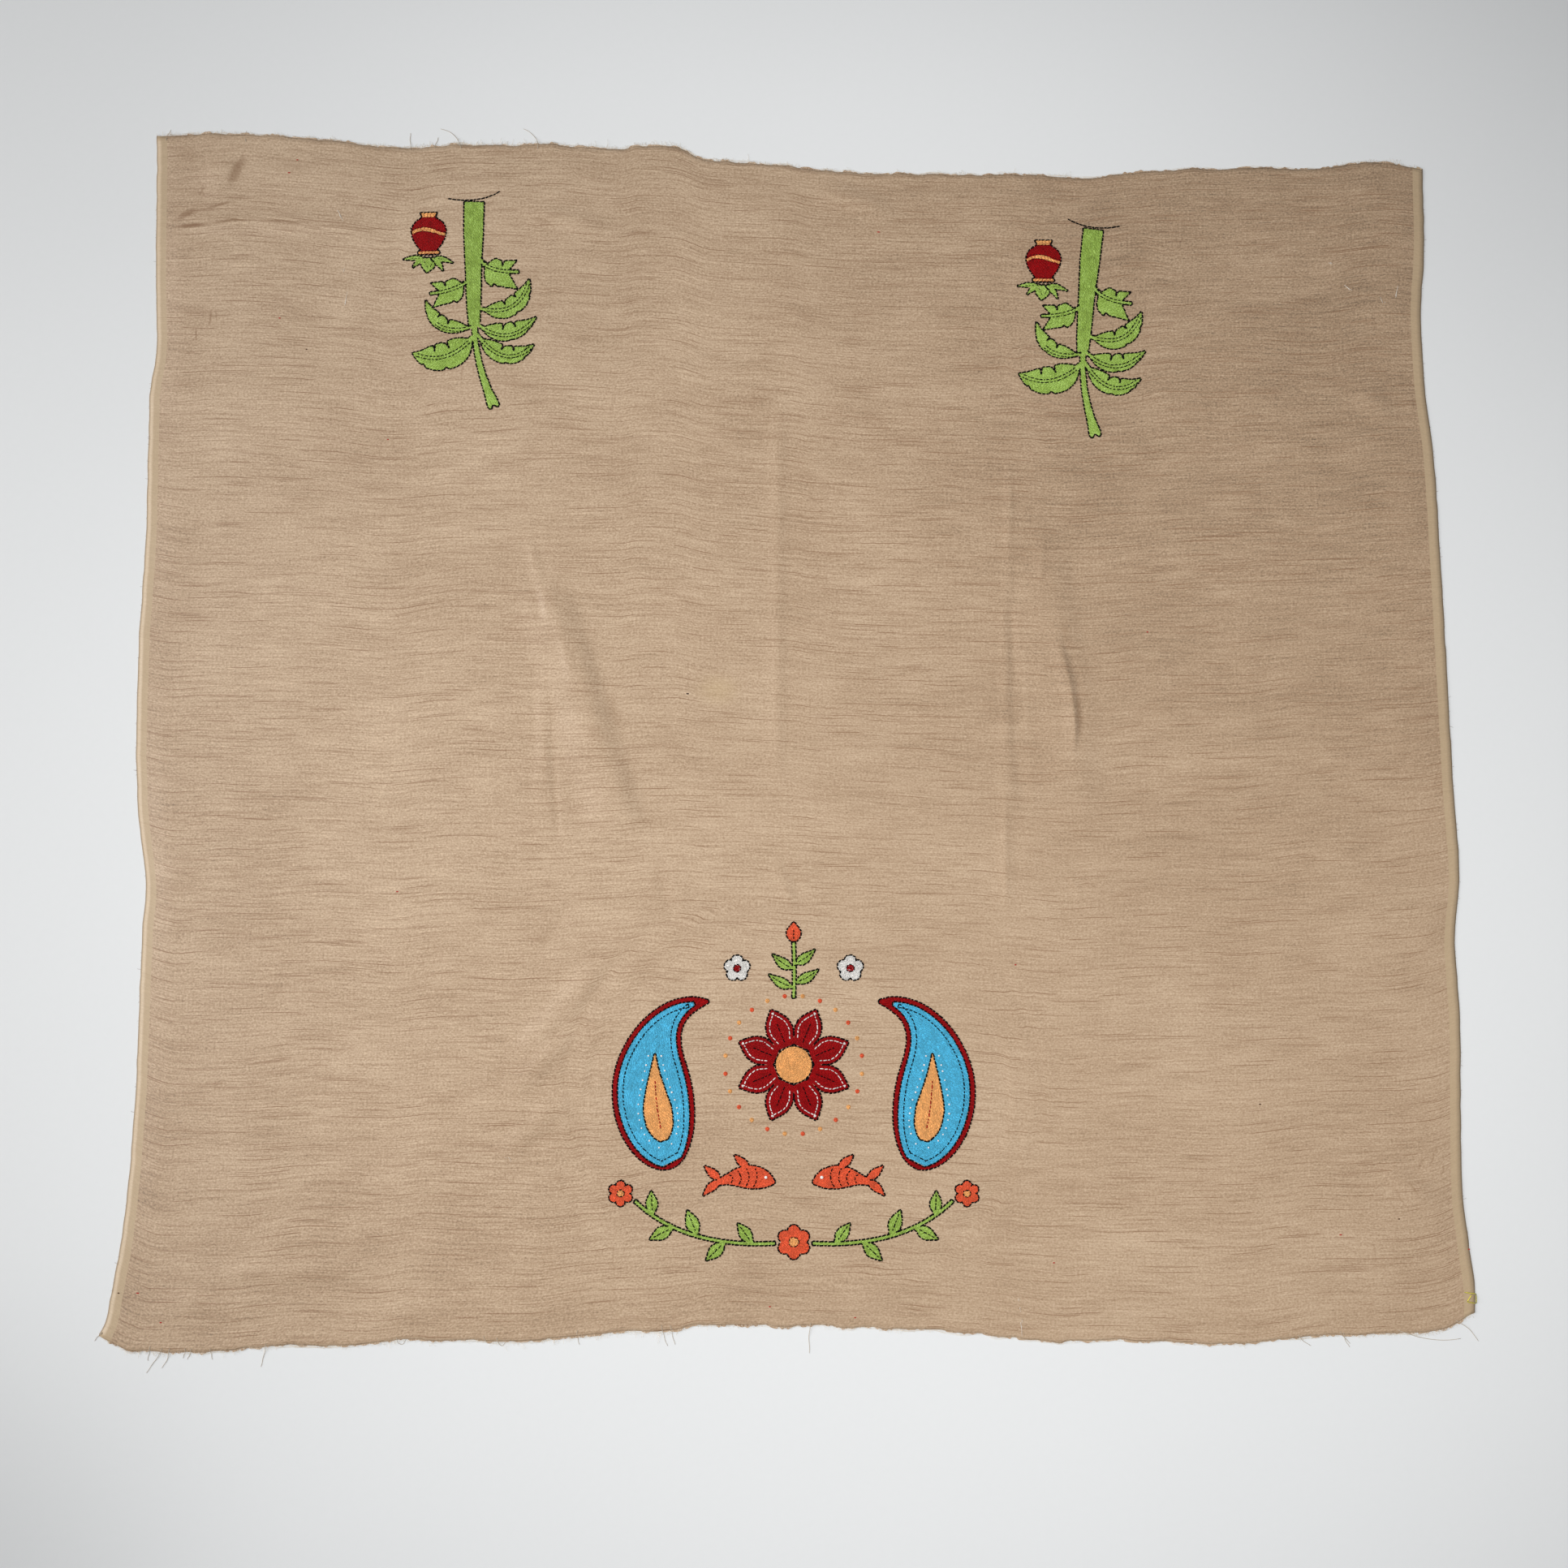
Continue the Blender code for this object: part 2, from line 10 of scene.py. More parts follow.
import bpy
import numpy as np
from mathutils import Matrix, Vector, geometry
from mathutils.bvhtree import BVHTree

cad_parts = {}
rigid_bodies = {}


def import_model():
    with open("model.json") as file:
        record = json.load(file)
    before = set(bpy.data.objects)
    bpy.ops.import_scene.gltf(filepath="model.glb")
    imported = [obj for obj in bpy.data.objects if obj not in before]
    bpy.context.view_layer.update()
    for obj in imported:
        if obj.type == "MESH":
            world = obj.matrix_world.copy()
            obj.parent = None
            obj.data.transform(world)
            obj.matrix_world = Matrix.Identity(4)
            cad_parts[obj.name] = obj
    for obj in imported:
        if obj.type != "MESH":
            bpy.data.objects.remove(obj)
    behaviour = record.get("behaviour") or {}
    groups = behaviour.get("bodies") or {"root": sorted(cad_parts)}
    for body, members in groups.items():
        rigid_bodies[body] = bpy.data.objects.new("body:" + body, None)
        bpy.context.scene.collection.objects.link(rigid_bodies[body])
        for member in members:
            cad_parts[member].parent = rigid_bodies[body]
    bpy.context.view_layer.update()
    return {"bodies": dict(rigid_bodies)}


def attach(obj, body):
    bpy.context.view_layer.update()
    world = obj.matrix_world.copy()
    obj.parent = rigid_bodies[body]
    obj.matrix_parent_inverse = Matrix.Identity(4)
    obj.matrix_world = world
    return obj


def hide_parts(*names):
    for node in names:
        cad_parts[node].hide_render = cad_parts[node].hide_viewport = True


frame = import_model()
BODY = list(frame["bodies"])[0]

MM = 0.001
SIDES = ("left", "right")
# Soft noise repeats after so many lumps
LATTICE = 211
# One seeded source for all random draws, made in the order in which the pieces are built
dice = np.random.default_rng(12)


def even(table):
    """Rows with the same half width on both sides, from a table of: along, half width."""
    return [(along, half, half) for along, half in table]


# The silk as it was cut, in metres
FLAT_WIDTH = 1.12
FLAT_LENGTH = 1.01
# Its thickness and how high it rests, in millimetres
SILK_THICKNESS = 0.45
RESTS_AT = 0.06
# The share of the solid's fold heights that it takes
FOLD_SHARE = 0.85
# How far the needlework lifts it, and draws its weft aside, in millimetres
WORKED_LIFT = 0.42
WEFT_DRAWN = 2.0

# The four edges as the sheet lies, in millimetres. Side edges: y, x. Cut edges: x, y.
LEFT_EDGE = [
    (-513, -573), (-501, -568), (-467, -562), (-426, -556), (-359, -551), (-301, -549), (-182, -548),
    (-140, -546), (-116, -549), (-62, -556), (2, -559), (70, -559), (165, -556), (286, -557),
    (331, -552), (405, -555), (492, -557), (524, -558),
]
RIGHT_EDGE = [
    (-495, 572), (-476, 573), (-446, 570), (-392, 565), (-249, 568), (-186, 566), (-128, 572),
    (-44, 569), (95, 566), (237, 562), (275, 558), (301, 556), (355, 555), (426, 560), (494, 561),
]
BOTTOM_EDGE = [
    (-573, -513), (-554, -523), (-541, -527), (-487, -527), (-407, -521), (-358, -521), (-313, -517),
    (-222, -518), (-162, -512), (-91, -508), (-68, -505), (101, -508), (146, -511), (229, -519),
    (251, -518), (374, -520), (451, -513), (520, -512), (546, -508), (560, -502), (572, -495),
]
TOP_EDGE = [
    (-558, 524), (-493, 527), (-397, 520), (-334, 513), (-282, 517), (-208, 517), (-147, 513),
    (-132, 516), (-101, 514), (-69, 503), (6, 497), (17, 494), (86, 490), (194, 489), (250, 486),
    (307, 492), (366, 495), (469, 495), (522, 500), (548, 498), (561, 494),
]

# Where the sheet is divided, closer together where it is folded or worked: from, to, pitch
HALF_WIDTH = 573
HALF_LENGTH = 527
STATIONS_ACROSS = [
    (-573, -540, 5), (-540, -240, 6.6), (-240, -120, 2.9), (-120, -20, 6), (-20, 2, 2.8), (2, 176, 6),
    (176, 198, 2.2), (198, 226, 3), (226, 238, 2), (238, 250, 1.2), (250, 258, 2), (258, 390, 6.6),
    (390, 410, 4), (410, 540, 6.4), (540, 573, 5),
]
STATIONS_UP = [
    (-527, -505, 4), (-505, -380, 6), (-380, -110, 5), (-110, 230, 6.2), (230, 310, 5.4),
    (310, 430, 5.6), (430, 514, 4.6), (514, 527, 4),
]

# The folds of the solid. A path runs up the sheet or to the right along the crest. rise is the crest's
# height, left and right how far the slopes reach on each side, fade how long each end dies out.
Fold = namedtuple("Fold", "rise left right fade path")
FOLDS = [
    Fold(4.2, 38, 21, 56, [(-128, -112), (-143, -68), (-168, -8), (-183, 66), (-214, 135)]),
    Fold(2.4, 36, 26, 60, [(246, -95), (250, -30), (246, 35), (226, 90), (219, 180)]),
    Fold(0.8, 9, 9, 50, [(188, -170), (184, -75), (190, 60), (193, 237)]),
    Fold(0.9, 10, 10, 70, [(-9, -70), (-9, 120), (-8, 300)]),
    Fold(1.0, 11, 11, 50, [(-210, -90), (-208, -20), (-206, 60)]),
    Fold(2.4, 15, 15, 45, [(-238, -292), (-190, -246), (-150, -196)]),
    Fold(2.0, 14, 14, 40, [(-240, -322), (-205, -282), (-170, -250)]),
    Fold(2.0, 14, 14, 40, [(-252, -378), (-215, -342), (-178, -314)]),
    Fold(2.4, 12, 12, 60, [(-548, 446), (-460, 444), (-362, 445)]),
    Fold(1.8, 26, 11, 20, [(-506, 462), (-497, 488), (-489, 512)]),
    Fold(2.2, 15, 15, 32, [(20, 484), (60, 466), (104, 446)]),
    Fold(2.0, 12, 12, 40, [(-240, 458), (-195, 448), (-146, 438)]),
    Fold(2.6, 13, 13, 26, [(490, 300), (510, 284), (532, 264)]),
    Fold(2.0, 12, 12, 50, [(-500, -464), (-430, -466), (-350, -463)]),
    Fold(1.8, 11, 11, 40, [(-530, -484), (-480, -488), (-425, -492)]),
    Fold(2.2, 13, 13, 30, [(492, -372), (515, -388), (545, -406)]),
]
# Finer creases, added to the folds; one below zero is a trough
CREASES = [
    Fold(1.1, 6, 5, 18, [(-202, 84), (-211, 112), (-226, 168)]),
    Fold(1.0, 6, 5, 18, [(-183, 34), (-194, 72), (-209, 132)]),
    Fold(-0.8, 6, 6, 12, [(-219, 120), (-215, 102), (-211, 84)]),
    Fold(-0.5, 3, 3, 12, [(-206, 108), (-200, 96), (-195, 84)]),
    Fold(-0.3, 8, 10, 30, [(-150, -8), (-157, 18), (-165, 40)]),
    Fold(-0.8, 5, 4, 20, [(-205, 8), (-200, -40), (-195, -108)]),
    Fold(-0.4, 5, 5, 20, [(-219, 48), (-219, 24), (-217, -6)]),
    Fold(2.2, 13, 3.6, 26, [(244, -30), (250, 4), (243, 42), (229, 84)]),
    Fold(-0.8, 4, 7, 20, [(250, -14), (255, 12), (249, 40), (240, 66)]),
    Fold(1.0, 7, 6, 20, [(216, 116), (218, 140), (221, 174)]),
    Fold(-1.5, 9, 7, 34, [(203, -78), (198, -10), (194, 40), (192, 122)]),
    Fold(0.7, 4, 3, 24, [(190, 150), (192, 195), (193, 240)]),
    Fold(0.7, 4, 3, 30, [(187, -165), (184, -120), (186, -60)]),
    Fold(0.5, 6, 5, 16, [(234, -120), (244, -138), (253, -156)]),
    Fold(0.25, 4, 3, 70, [(-9, -48), (-9, 120), (-8, 290)]),
    Fold(0.3, 5, 5, 40, [(398, -61), (399, 0), (399, 65)]),
    Fold(0.5, 8, 5, 30, [(536, 304), (542, 280), (548, 257)]),
    Fold(-0.9, 7, 6, 20, [(-92, -176), (-101, -152), (-112, -122)]),
    Fold(0.6, 7, 7, 20, [(-86, -174), (-92, -150), (-96, -128)]),
    Fold(0.9, 8, 7, 18, [(5, -164), (-2, -140), (-13, -112)]),
    Fold(-0.5, 6, 6, 16, [(15, -164), (10, -145), (2, -122)]),
    Fold(0.5, 7, 7, 16, [(66, -168), (68, -150), (66, -132)]),
    Fold(0.5, 6, 6, 14, [(207, 472), (222, 462), (239, 449)]),
    Fold(0.5, 7, 7, 14, [(156, 324), (164, 308), (173, 295)]),
    Fold(0.7, 6, 4, 12, [(497, -377), (520, -392), (540, -403)]),
    Fold(-0.6, 5, 5, 12, [(520, -360), (526, -372), (528, -386)]),
    Fold(0.5, 5, 5, 12, [(528, -396), (538, -386), (542, -372)]),
    Fold(0.35, 4, 4, 20, [(389, -460), (425, -461), (460, -460)]),
    Fold(0.5, 8, 8, 40, [(-546, -134), (-500, -126), (-443, -117)]),
    Fold(0.6, 8, 7, 16, [(-482, 468), (-512, 460), (-540, 449)]),
    Fold(-0.6, 10, 10, 30, [(-222, -214), (-196, -176), (-176, -140)]),
    Fold(0.4, 6, 6, 18, [(474, 412), (480, 404), (494, 384)]),
    Fold(0.5, 5, 5, 12, [(516, 498), (522, 478), (524, 462)]),
]
# Where the cloth is worked and so drawn up a little: x, y, half width, half height
WORKED = [
    (-276, 378, 66, 98), (269, 352, 66, 98), (-316, 430, 24, 36), (225, 405, 24, 36), (5, -315, 168, 152),
]
# How the silk strays, each a row of: how much, size of a lump across and up in millimetres, seed.
# The cut edges' waver, the weft's and the warp's drift inside the sheet, the selvages' waver, and ripples.
CUT_WAVER = [(1.2, 9, 400, 51), (1.0, 27, 400, 52)]
WEFT_DRIFT = [(2.2, 120, 60, 53), (0.8, 34, 30, 54)]
WARP_DRIFT = [(1.2, 90, 130, 55)]
SELVAGE_WAVER = [(0.45, 400, 9, 56)]
RIPPLES = [(0.30, 105, 13, 21), (0.26, 46, 24, 22), (1.1, 130, 80, 23)]
# How a fold swells and thins, how it drags the weft beside it, and how the cut edges lift and dip
FOLD_SWELL = [(0.24, 34, 22, 24)]
FOLD_DRAG = [(0.45, 40, 11, 25)]
CUT_DIP = [(0.25, 17, 40, 41)]
CUT_LIFT = 0.2
# How deep the flatter rim is, and how deep the edges waver and lift, in millimetres
RIM_REACH = 26
CUT_WAVER_REACH = 14
CUT_LIFT_REACH = 16
SELVAGE_REACH = 18
# How loosely the silk lies, in millimetres, and the share of that at its rim
LOOSENESS = 1.0
RIM_SHARE = 0.25
# Round a worked area: where its lift eases out, where its puckers stand and how wide, as shares of its size
WORKED_EASE = (0.85, 1.25)
PUCKERS_AT = 1.12
PUCKERS_WIDE = 0.22
PUCKER_HEIGHT = 0.34

# Each motif's place: x, y, turn in degrees
PLANT_PLACES = {"left": (-276, 464, 183.0), "right": (269, 439, 176.5)}
POT_PLACES = {"left": (-316, 454, 181.0), "right": (225, 429, 179.0)}
MIDDLE = (5, -315, 0.0)

# A plant upright on its ground line. Rows hold: along the path, half width on its left and on its right
TRUNK_ROWS = even([(0.0, 8.7), (0.28, 8.4), (0.55, 7.0), (0.86, 6.0), (1.0, 4.8)])
TRUNK_PATH = [(0, 0), (3.6, 50), (4.2, 112)]
SHOOT_PATH = [(4, 108), (5, 148), (-6, 170), (-10.5, 187)]
SHOOT_ROWS = [
    (0.0, 2.6, 2.6), (0.15, 2.2, 2.2), (0.35, 2.4, 2.4), (0.55, 2.9, 2.9), (0.72, 3.4, 3.4),
    (0.84, 4.5, 4.3), (0.93, 5.2, 5.0), (0.98, 4.7, 4.4), (1.0, 3.1, 2.8), (0.94, 0.3, 0.3),
]
GROUND_PATH = [(-23, -8.4), (-9, -0.2), (9, -0.2), (23, -4.4)]
# Where a leaf's two veins start along it, and how far each is from its middle line
VEINS_START = 0.12
VEIN_OFFSET = 1.35

# Leaves on the trunk. side is -1 or 1, root, bend and tip lead the middle line out of the trunk, low and
# high are the blade's half widths towards the ground and away from it, veined how far its veins run.
Leaf = namedtuple("Leaf", "side root bend tip low high torn veined")
PLANT_LEAVES = [
    Leaf(-1, (-2, 52), (-11, 65), (-36.5, 65), 9.5, 15, True, 0.94),
    Leaf(-1, (1, 96), (-36, 109), (-45.5, 72), 8, 8, False, 0.94),
    Leaf(-1, (2, 111), (-26, 136), (-50.5, 107), 10.5, 5, False, 0.94),
    Leaf(-1, (3, 119), (-21, 157), (-47.5, 132), 9, 6.6, False, 0.94),
    Leaf(1, (5, 69), (18, 80), (42, 81), 9, 12, True, 0.94),
    Leaf(1, (2, 113), (43, 123), (46, 86.5), 8.8, 3.2, False, 0.60),
    Leaf(1, (3, 120), (29, 150), (59, 134), 12, 12, False, 0.94),
]
# Blade outlines: along the leaf, then the half width towards the ground and away from it as shares
WHOLE_BLADE = [
    (0.00, 0.18, 0.18), (0.10, 0.20, 0.20), (0.15, 0.58, 0.48), (0.24, 0.90, 0.82), (0.34, 1.02, 0.98),
    (0.38, 0.98, 1.00), (0.40, 0.42, 1.00), (0.43, 0.88, 1.00), (0.50, 1.06, 0.98), (0.53, 1.08, 0.76),
    (0.57, 1.06, 0.94), (0.65, 1.02, 0.92), (0.67, 0.44, 0.90), (0.70, 0.90, 0.86), (0.78, 0.84, 0.74),
    (0.81, 0.74, 0.50), (0.85, 0.60, 0.56), (0.93, 0.30, 0.30), (1.00, 0.03, 0.03),
]
TORN_BLADE = [
    (0.00, 0.22, 0.14), (0.28, 0.20, 0.13), (0.34, 0.66, 0.50), (0.42, 0.98, 0.84), (0.50, 1.02, 0.98),
    (0.55, 0.98, 1.04), (0.58, 0.94, 0.80), (0.64, 0.90, 0.94), (0.67, 0.40, 0.94), (0.71, 0.98, 0.92),
    (0.97, 1.06, 1.04), (0.82, 0.16, 0.11), (1.00, 0.13, 0.09),
]

# A round pot upright on its yellow foot, and the foot: along its height, half width
POT_HEIGHT = 37.4
POT_ROWS = even([
    (0.00, 7.5), (0.05, 6.6), (0.10, 5.7), (0.20, 10.8), (0.30, 13.8), (0.43, 15.2), (0.55, 14.6),
    (0.70, 12.4), (0.82, 9.4), (0.91, 7.0), (0.925, 9.2), (0.985, 9.6), (1.00, 8.6),
])
FOOT_PATH = [(0, 0.0), (0, 3.8)]
FOOT_ROWS = even([(0.00, 7.4), (0.50, 6.4), (1.00, 5.6)])
# Bands on the pot: the line each follows across it, and its half width
POT_BANDS = [
    ([(-14.6, 19.8), (-5, 17.5), (5, 10.5), (14.6, 18.2)], 1.75),
    ([(-9.2, 35.9), (0, 35.5), (9.2, 36.0)], 1.5),
]
# Leaves in the pot: middle line, half width
POT_LEAVES = [
    ([(-2.4, 41.2), (-11.0, 40.2), (-21.5, 45.7)], 2.3),
    ([(-2.2, 41.2), (-9.0, 43.5), (-12.6, 53.0)], 2.4),
    ([(0.3, 40.6), (0.4, 47.0), (2.0, 54.0)], 6.2),
    ([(2.2, 41.2), (9.5, 42.5), (14.3, 49.5)], 2.2),
    ([(2.4, 41.2), (12.0, 39.6), (23.0, 41.8)], 2.1),
]
# A band's half width at its ends as a share of that at its middle, and how far from it its black lines are
BAND_ENDS = 0.8
BAND_LINES = (-2.0, 2.0)
# The zigzag at the pot's neck: its lower and upper height, its half width, and the step between its corners
NECK_HEIGHTS = (38.0, 41.4)
NECK_HALF = 6.8
NECK_STEP = 1.7
# Short lines of stitching on the pot and in its leaves
POT_LINES = [
    [(-5.6, 4.3), (5.6, 4.3)], [(-7.0, 34.1), (7.0, 34.1)], [(-3.8, 43.5), (-1.2, 49.0)],
    [(1.2, 49.5), (4.0, 43.5)], [(-8.0, 41.5), (-15.0, 42.6)], [(8.0, 41.0), (16.0, 40.9)],
]
SMALL_LEAF = even([
    (0.00, 0.26), (0.16, 0.46), (0.34, 0.94), (0.52, 1.00), (0.74, 0.66), (0.90, 0.28), (1.00, 0.06),
])
# How much of a small leaf its vein runs along
SMALL_VEIN = (0.2, 0.85)
STEM_ROWS = even([(0.0, 1.4), (1.0, 1.4)])

# The middle design, upright about its own centre
LOTUS_CENTRE = (0, 25)
LOTUS_PETALS = 8
LOTUS_INNER = 16.0
LOTUS_OUTER = 50.0
LOTUS_TURN = 22.5
PETAL_ROWS = even([
    (0.00, 7.0), (0.20, 9.2), (0.42, 11.2), (0.60, 10.4), (0.78, 7.0), (0.92, 2.8), (1.00, 0.3),
])
# The pale lines inside the petals: how far inside, and how far from the middle they start
PALE_INSET = 3.2
PALE_START = 20.5
PAISLEY_PATH = [(100, -60), (128, -10), (132, 75), (72, 78)]
PAISLEY_WIDTHS = [
    (0.0, 3.5), (0.010, 8.5), (0.03, 13.8), (0.06, 19.0), (0.10, 24.0), (0.16, 29.0), (0.24, 32.6),
    (0.32, 33.8), (0.40, 32.8), (0.48, 29.8), (0.56, 25.2), (0.64, 20.3), (0.72, 15.6), (0.80, 11.6),
    (0.88, 8.0), (0.94, 5.2), (1.0, 1.2),
]
PAISLEY_BORDER = 4.0
PAISLEY_HEART_PATH = [(109, -38), (118, -8), (117, 34)]
PAISLEY_HEART_ROWS = even([
    (0.00, 3.5), (0.08, 7.8), (0.22, 11.2), (0.38, 11.8), (0.60, 8.4), (0.82, 3.8), (1.00, 0.4),
])
# How far inside the blue its echoing line is, and how far outside the heart its knots are
ECHO_INSET = 4.4
KNOT_RING = 4.6
VINE_PATH = [(15.5, -123), (70, -126), (108, -112), (133, -88)]
# Leaves on the vine: along the vine, side, length, half width
VINE_LEAVES = [
    (0.12, 1, 21, 5.0), (0.28, -1, 22, 5.2), (0.46, 1, 23, 5.4), (0.64, -1, 22, 5.2), (0.82, 1, 20, 4.8),
]
VINE_LEAF_ANGLE = 52.0
# Flowers: x, y, petals, reach of a petal, thread
FLOWERS = {
    "flower_middle": (0, -122, 6, 14.0, "orange_thread"),
    "flower_left": (-145, -82, 6, 10.5, "orange_thread"),
    "flower_right": (145, -82, 6, 10.5, "orange_thread"),
    "blossom_left": (-48, 106, 5, 11.0, "white_thread"),
    "blossom_right": (48, 106, 5, 11.0, "white_thread"),
}
FLOWER_PETAL = even([(0.0, 0.30), (0.30, 0.62), (0.62, 1.00), (0.84, 0.80), (1.0, 0.30)])
# The size of a flower's eye as a share of its petals' reach
FLOWER_EYE = 0.3
FISH_PATH = [(16, -73), (40, -64), (64, -73)]
FISH_ROWS = [
    (0.00, 1.0, 1.0), (0.08, 4.6, 4.6), (0.22, 8.4, 8.0), (0.42, 9.8, 9.2), (0.62, 8.0, 7.6),
    (0.84, 4.0, 4.0), (1.00, 2.4, 2.4),
]
FISH_FINS = [
    ([(60, -71), (68, -66), (75, -59)], 3.6),
    ([(60, -71), (69, -75), (76, -84)], 3.6),
    ([(36, -62), (44, -56), (50, -50)], 3.4),
]
FISH_SCALES = (0.36, 0.50, 0.64, 0.78)
FISH_EYE = (23.4, -68.6)
SPRIG_STEM = [(0, 81), (1, 104), (0, 128)]
# Leaves on the sprig: side, root, reach, rise
SPRIG_LEAVES = [(-1, 90, 21, 11), (1, 94, 21, 11), (-1, 106, 18, 12), (1, 110, 18, 12)]
SPRIG_LEAF_HALF = 4.2
BUD_PATH = [(0, 129), (0, 137), (0, 145)]
BUD_ROWS = even([(0.0, 2.4), (0.2, 5.4), (0.45, 6.2), (0.75, 3.8), (1.0, 0.4)])
# A ring of dots round the lotus: its radius, their number and size, and how far in degrees it is turned
SEED_RING_RADIUS = 58.0
SEED_RING_COUNT = 24
SEED_RADIUS = 1.9
SEED_RING_TURN = 7.5

# Stitches, in millimetres. A line that turns by more degrees than SHARP_CORNER is sewn as two.
ROW_PITCH = 0.66
FILL_INSET = 0.3
SHORTEST_LINE = 0.9
SHORTEST_STITCH = SHORTEST_LINE * 0.7
SHARP_CORNER = 32.0
# A kind of work: a stitch's length and by what share it varies, the gap after it, its width and height, how
# far it is lifted off the silk, how far it is slanted, and how light its tone is, 0 to 1
Work = namedtuple("Work", "length spread gap width height lift slant tone", defaults=[0.5])
FILLING = Work(2.6, 0.3, 0.12, 0.86, 0.30, 0.10, 0.12)
LEAFING = FILLING._replace(tone=0.66)
OUTLINING = Work(3.0, 0.28, 0.50, 1.44, 0.54, 0.20, 0.10)
LINING = Work(3.4, 0.20, 0.30, 1.35, 0.50, 0.18, 0.04)
VEINING = Work(2.6, 0.28, 0.85, 1.06, 0.45, 0.32, 0.08)
EDGING = Work(2.2, 0.24, 0.70, 0.66, 0.40, 0.22, 0.08)
BANDING = Work(2.8, 0.2, 0.12, 0.90, 0.32, 0.18, 0.06)
CORNER_WORK = Work(8.0, 0.0, 0.1, 1.1, 0.6, 0.12, 0.0)
# How stitches vary: their slant, how far they lie off their line, their width and height as shares of their
# work's, and their tone from stitch to stitch and from patch to patch
SLANT_SPREAD = 0.05
OFF_LINE = 0.05
WIDTHS = (0.88, 1.12)
HEIGHTS = (0.8, 1.2)
TONE_SPREAD = 0.17
TONE_PATCHES = [(0.20, 5, 5, 61)]
# The ground under filled stitches: how far it stands over the silk and sinks into it, its points' pitch and
# its tone, and the tone of knots
UNDERLAY_TOP = 0.10
UNDERLAY_SUNK = 0.15
UNDERLAY_PITCH = 4.0
GROUND_TONE = 0.25
KNOT_TONE = 0.6
# Knots: how their sizes vary, and how far they stand over the silk, with a share of their size added
KNOT_SIZES = (0.85, 1.15)
KNOT_OVER = 0.25
KNOT_RAISED = 0.22

# Threads: colour in linear light
THREADS = {
    "green_thread": (0.395, 0.590, 0.100),
    "blue_thread": (0.095, 0.560, 0.850),
    "red_thread": (0.375, 0.002, 0.004),
    "orange_thread": (0.920, 0.130, 0.048),
    "yellow_thread": (0.990, 0.485, 0.165),
    "white_thread": (0.880, 0.860, 0.830),
    "black_thread": (0.004, 0.004, 0.005),
    "lemon_thread": (0.780, 0.690, 0.120),
}
# How glossy threads are, and the two that are less so
THREAD_SHINE = 0.4
THREAD_GLOSS = {"black_thread": 0.08, "red_thread": 0.22}
# A paler green painted on the lighter green stitches as a sheen
GREEN_PAINTED_SHEEN = (0.640, 0.800, 0.420, 1)

# Loose threads lying past the cut edges, each a path in millimetres
LOOSE_THREADS = [
    [(-333, 512), (-334, 520), (-334, 528)],
    [(-312, 514), (-311, 519), (-309, 524)],
    [(-289, 513), (-290, 525), (-299, 530), (-307, 532)],
    [(-221, 513), (-220, 524), (-227, 529), (-234, 532)],
    [(-479, 520), (-480, 525), (-479, 530)],
    [(-550, 521), (-549, 526), (-546, 531)],
    [(-530, -522), (-531, -528), (-532, -534)],
    [(-520, -524), (-525, -534), (-533, -544)],
    [(-514, -524), (-515, -534), (-520, -540)],
    [(-501, -524), (-501, -529), (-503, -532)],
    [(-496, -524), (-497, -529), (-499, -533)],
    [(-480, -524), (-480, -528), (-478, -533)],
    [(-570, -511), (-574, -514), (-577, -518)],
    [(-434, -520), (-435, -530), (-438, -539)],
    [(-326, -515), (-322, -526), (-317, -516)],
    [(-253, -514), (-248, -526), (-243, -514)],
    [(-242, -515), (-238, -529), (-233, -515)],
    [(-175, -509), (-176, -515), (-173, -521)],
    [(-105, -505), (-104, -513), (-100, -522)],
    [(-98, -505), (-96, -513), (-94, -521)],
    [(19, -503), (17, -515), (18, -528)],
    [(424, -513), (429, -519), (435, -522)],
    [(459, -510), (463, -516), (468, -520)],
    [(462, -511), (463, -517), (467, -523)],
    [(507, -509), (528, -517), (543, -519), (560, -516)],
    [(556, -501), (567, -507), (572, -513), (574, -518)],
]
# Small nubs of coloured fibre caught in the weave: x, y, length, colour
NUBS = [
    (-440, 491, 2.0, "red"), (-433, 503, 1.6, "red"), (-542, -479, 2.2, "red"), (-522, -503, 1.8, "red"),
    (-558, -479, 1.6, "brown"), (80, 437, 2.4, "red"), (193, -206, 1.6, "red"), (222, -454, 1.4, "red"),
    (-15, -490, 1.6, "red"), (56, -499, 1.4, "red"), (397, -323, 1.8, "brown"),
    (511, -418, 1.4, "brown"), (569, -443, 1.6, "red"), (462, -431, 2.0, "red"),
    (-332, -144, 1.8, "red"), (-86, 26, 2.2, "black"), (-332, 440.4, 0.9, "black"),
    (-445, 359, 1.6, "red"), (-421, 331, 1.4, "brown"), (-348, 250, 1.4, "red"), (310, 80, 1.4, "red"),
]
NUB_COLOURS = ("red", "brown", "black")
# A nub's length as a multiple of its row's, its width and height, and how far it lies over the silk
NUB_STRETCH = 1.25
NUB_WIDTH = 1.2
NUB_HEIGHT = 0.5
NUB_OVER = 0.06
# Fibres: colour in linear light
FIBRES = {
    # loose silk is paler than the sheet: the fine ends' own paleness with painted light laid over their
    # shade
    "loose_silk": (0.93, 0.84, 0.72),
    # the stray threads' grey-brown is partly their own colour and partly painted shadow
    "stray_silk": (0.50, 0.43, 0.34),
    "selvage_fibre": (0.26, 0.19, 0.14),
    "pale_fibre": (0.80, 0.74, 0.66),
    "fibre_red": (0.42, 0.035, 0.025),
    "fibre_brown": (0.10, 0.045, 0.02),
    "fibre_black": (0.03, 0.008, 0.008),
}
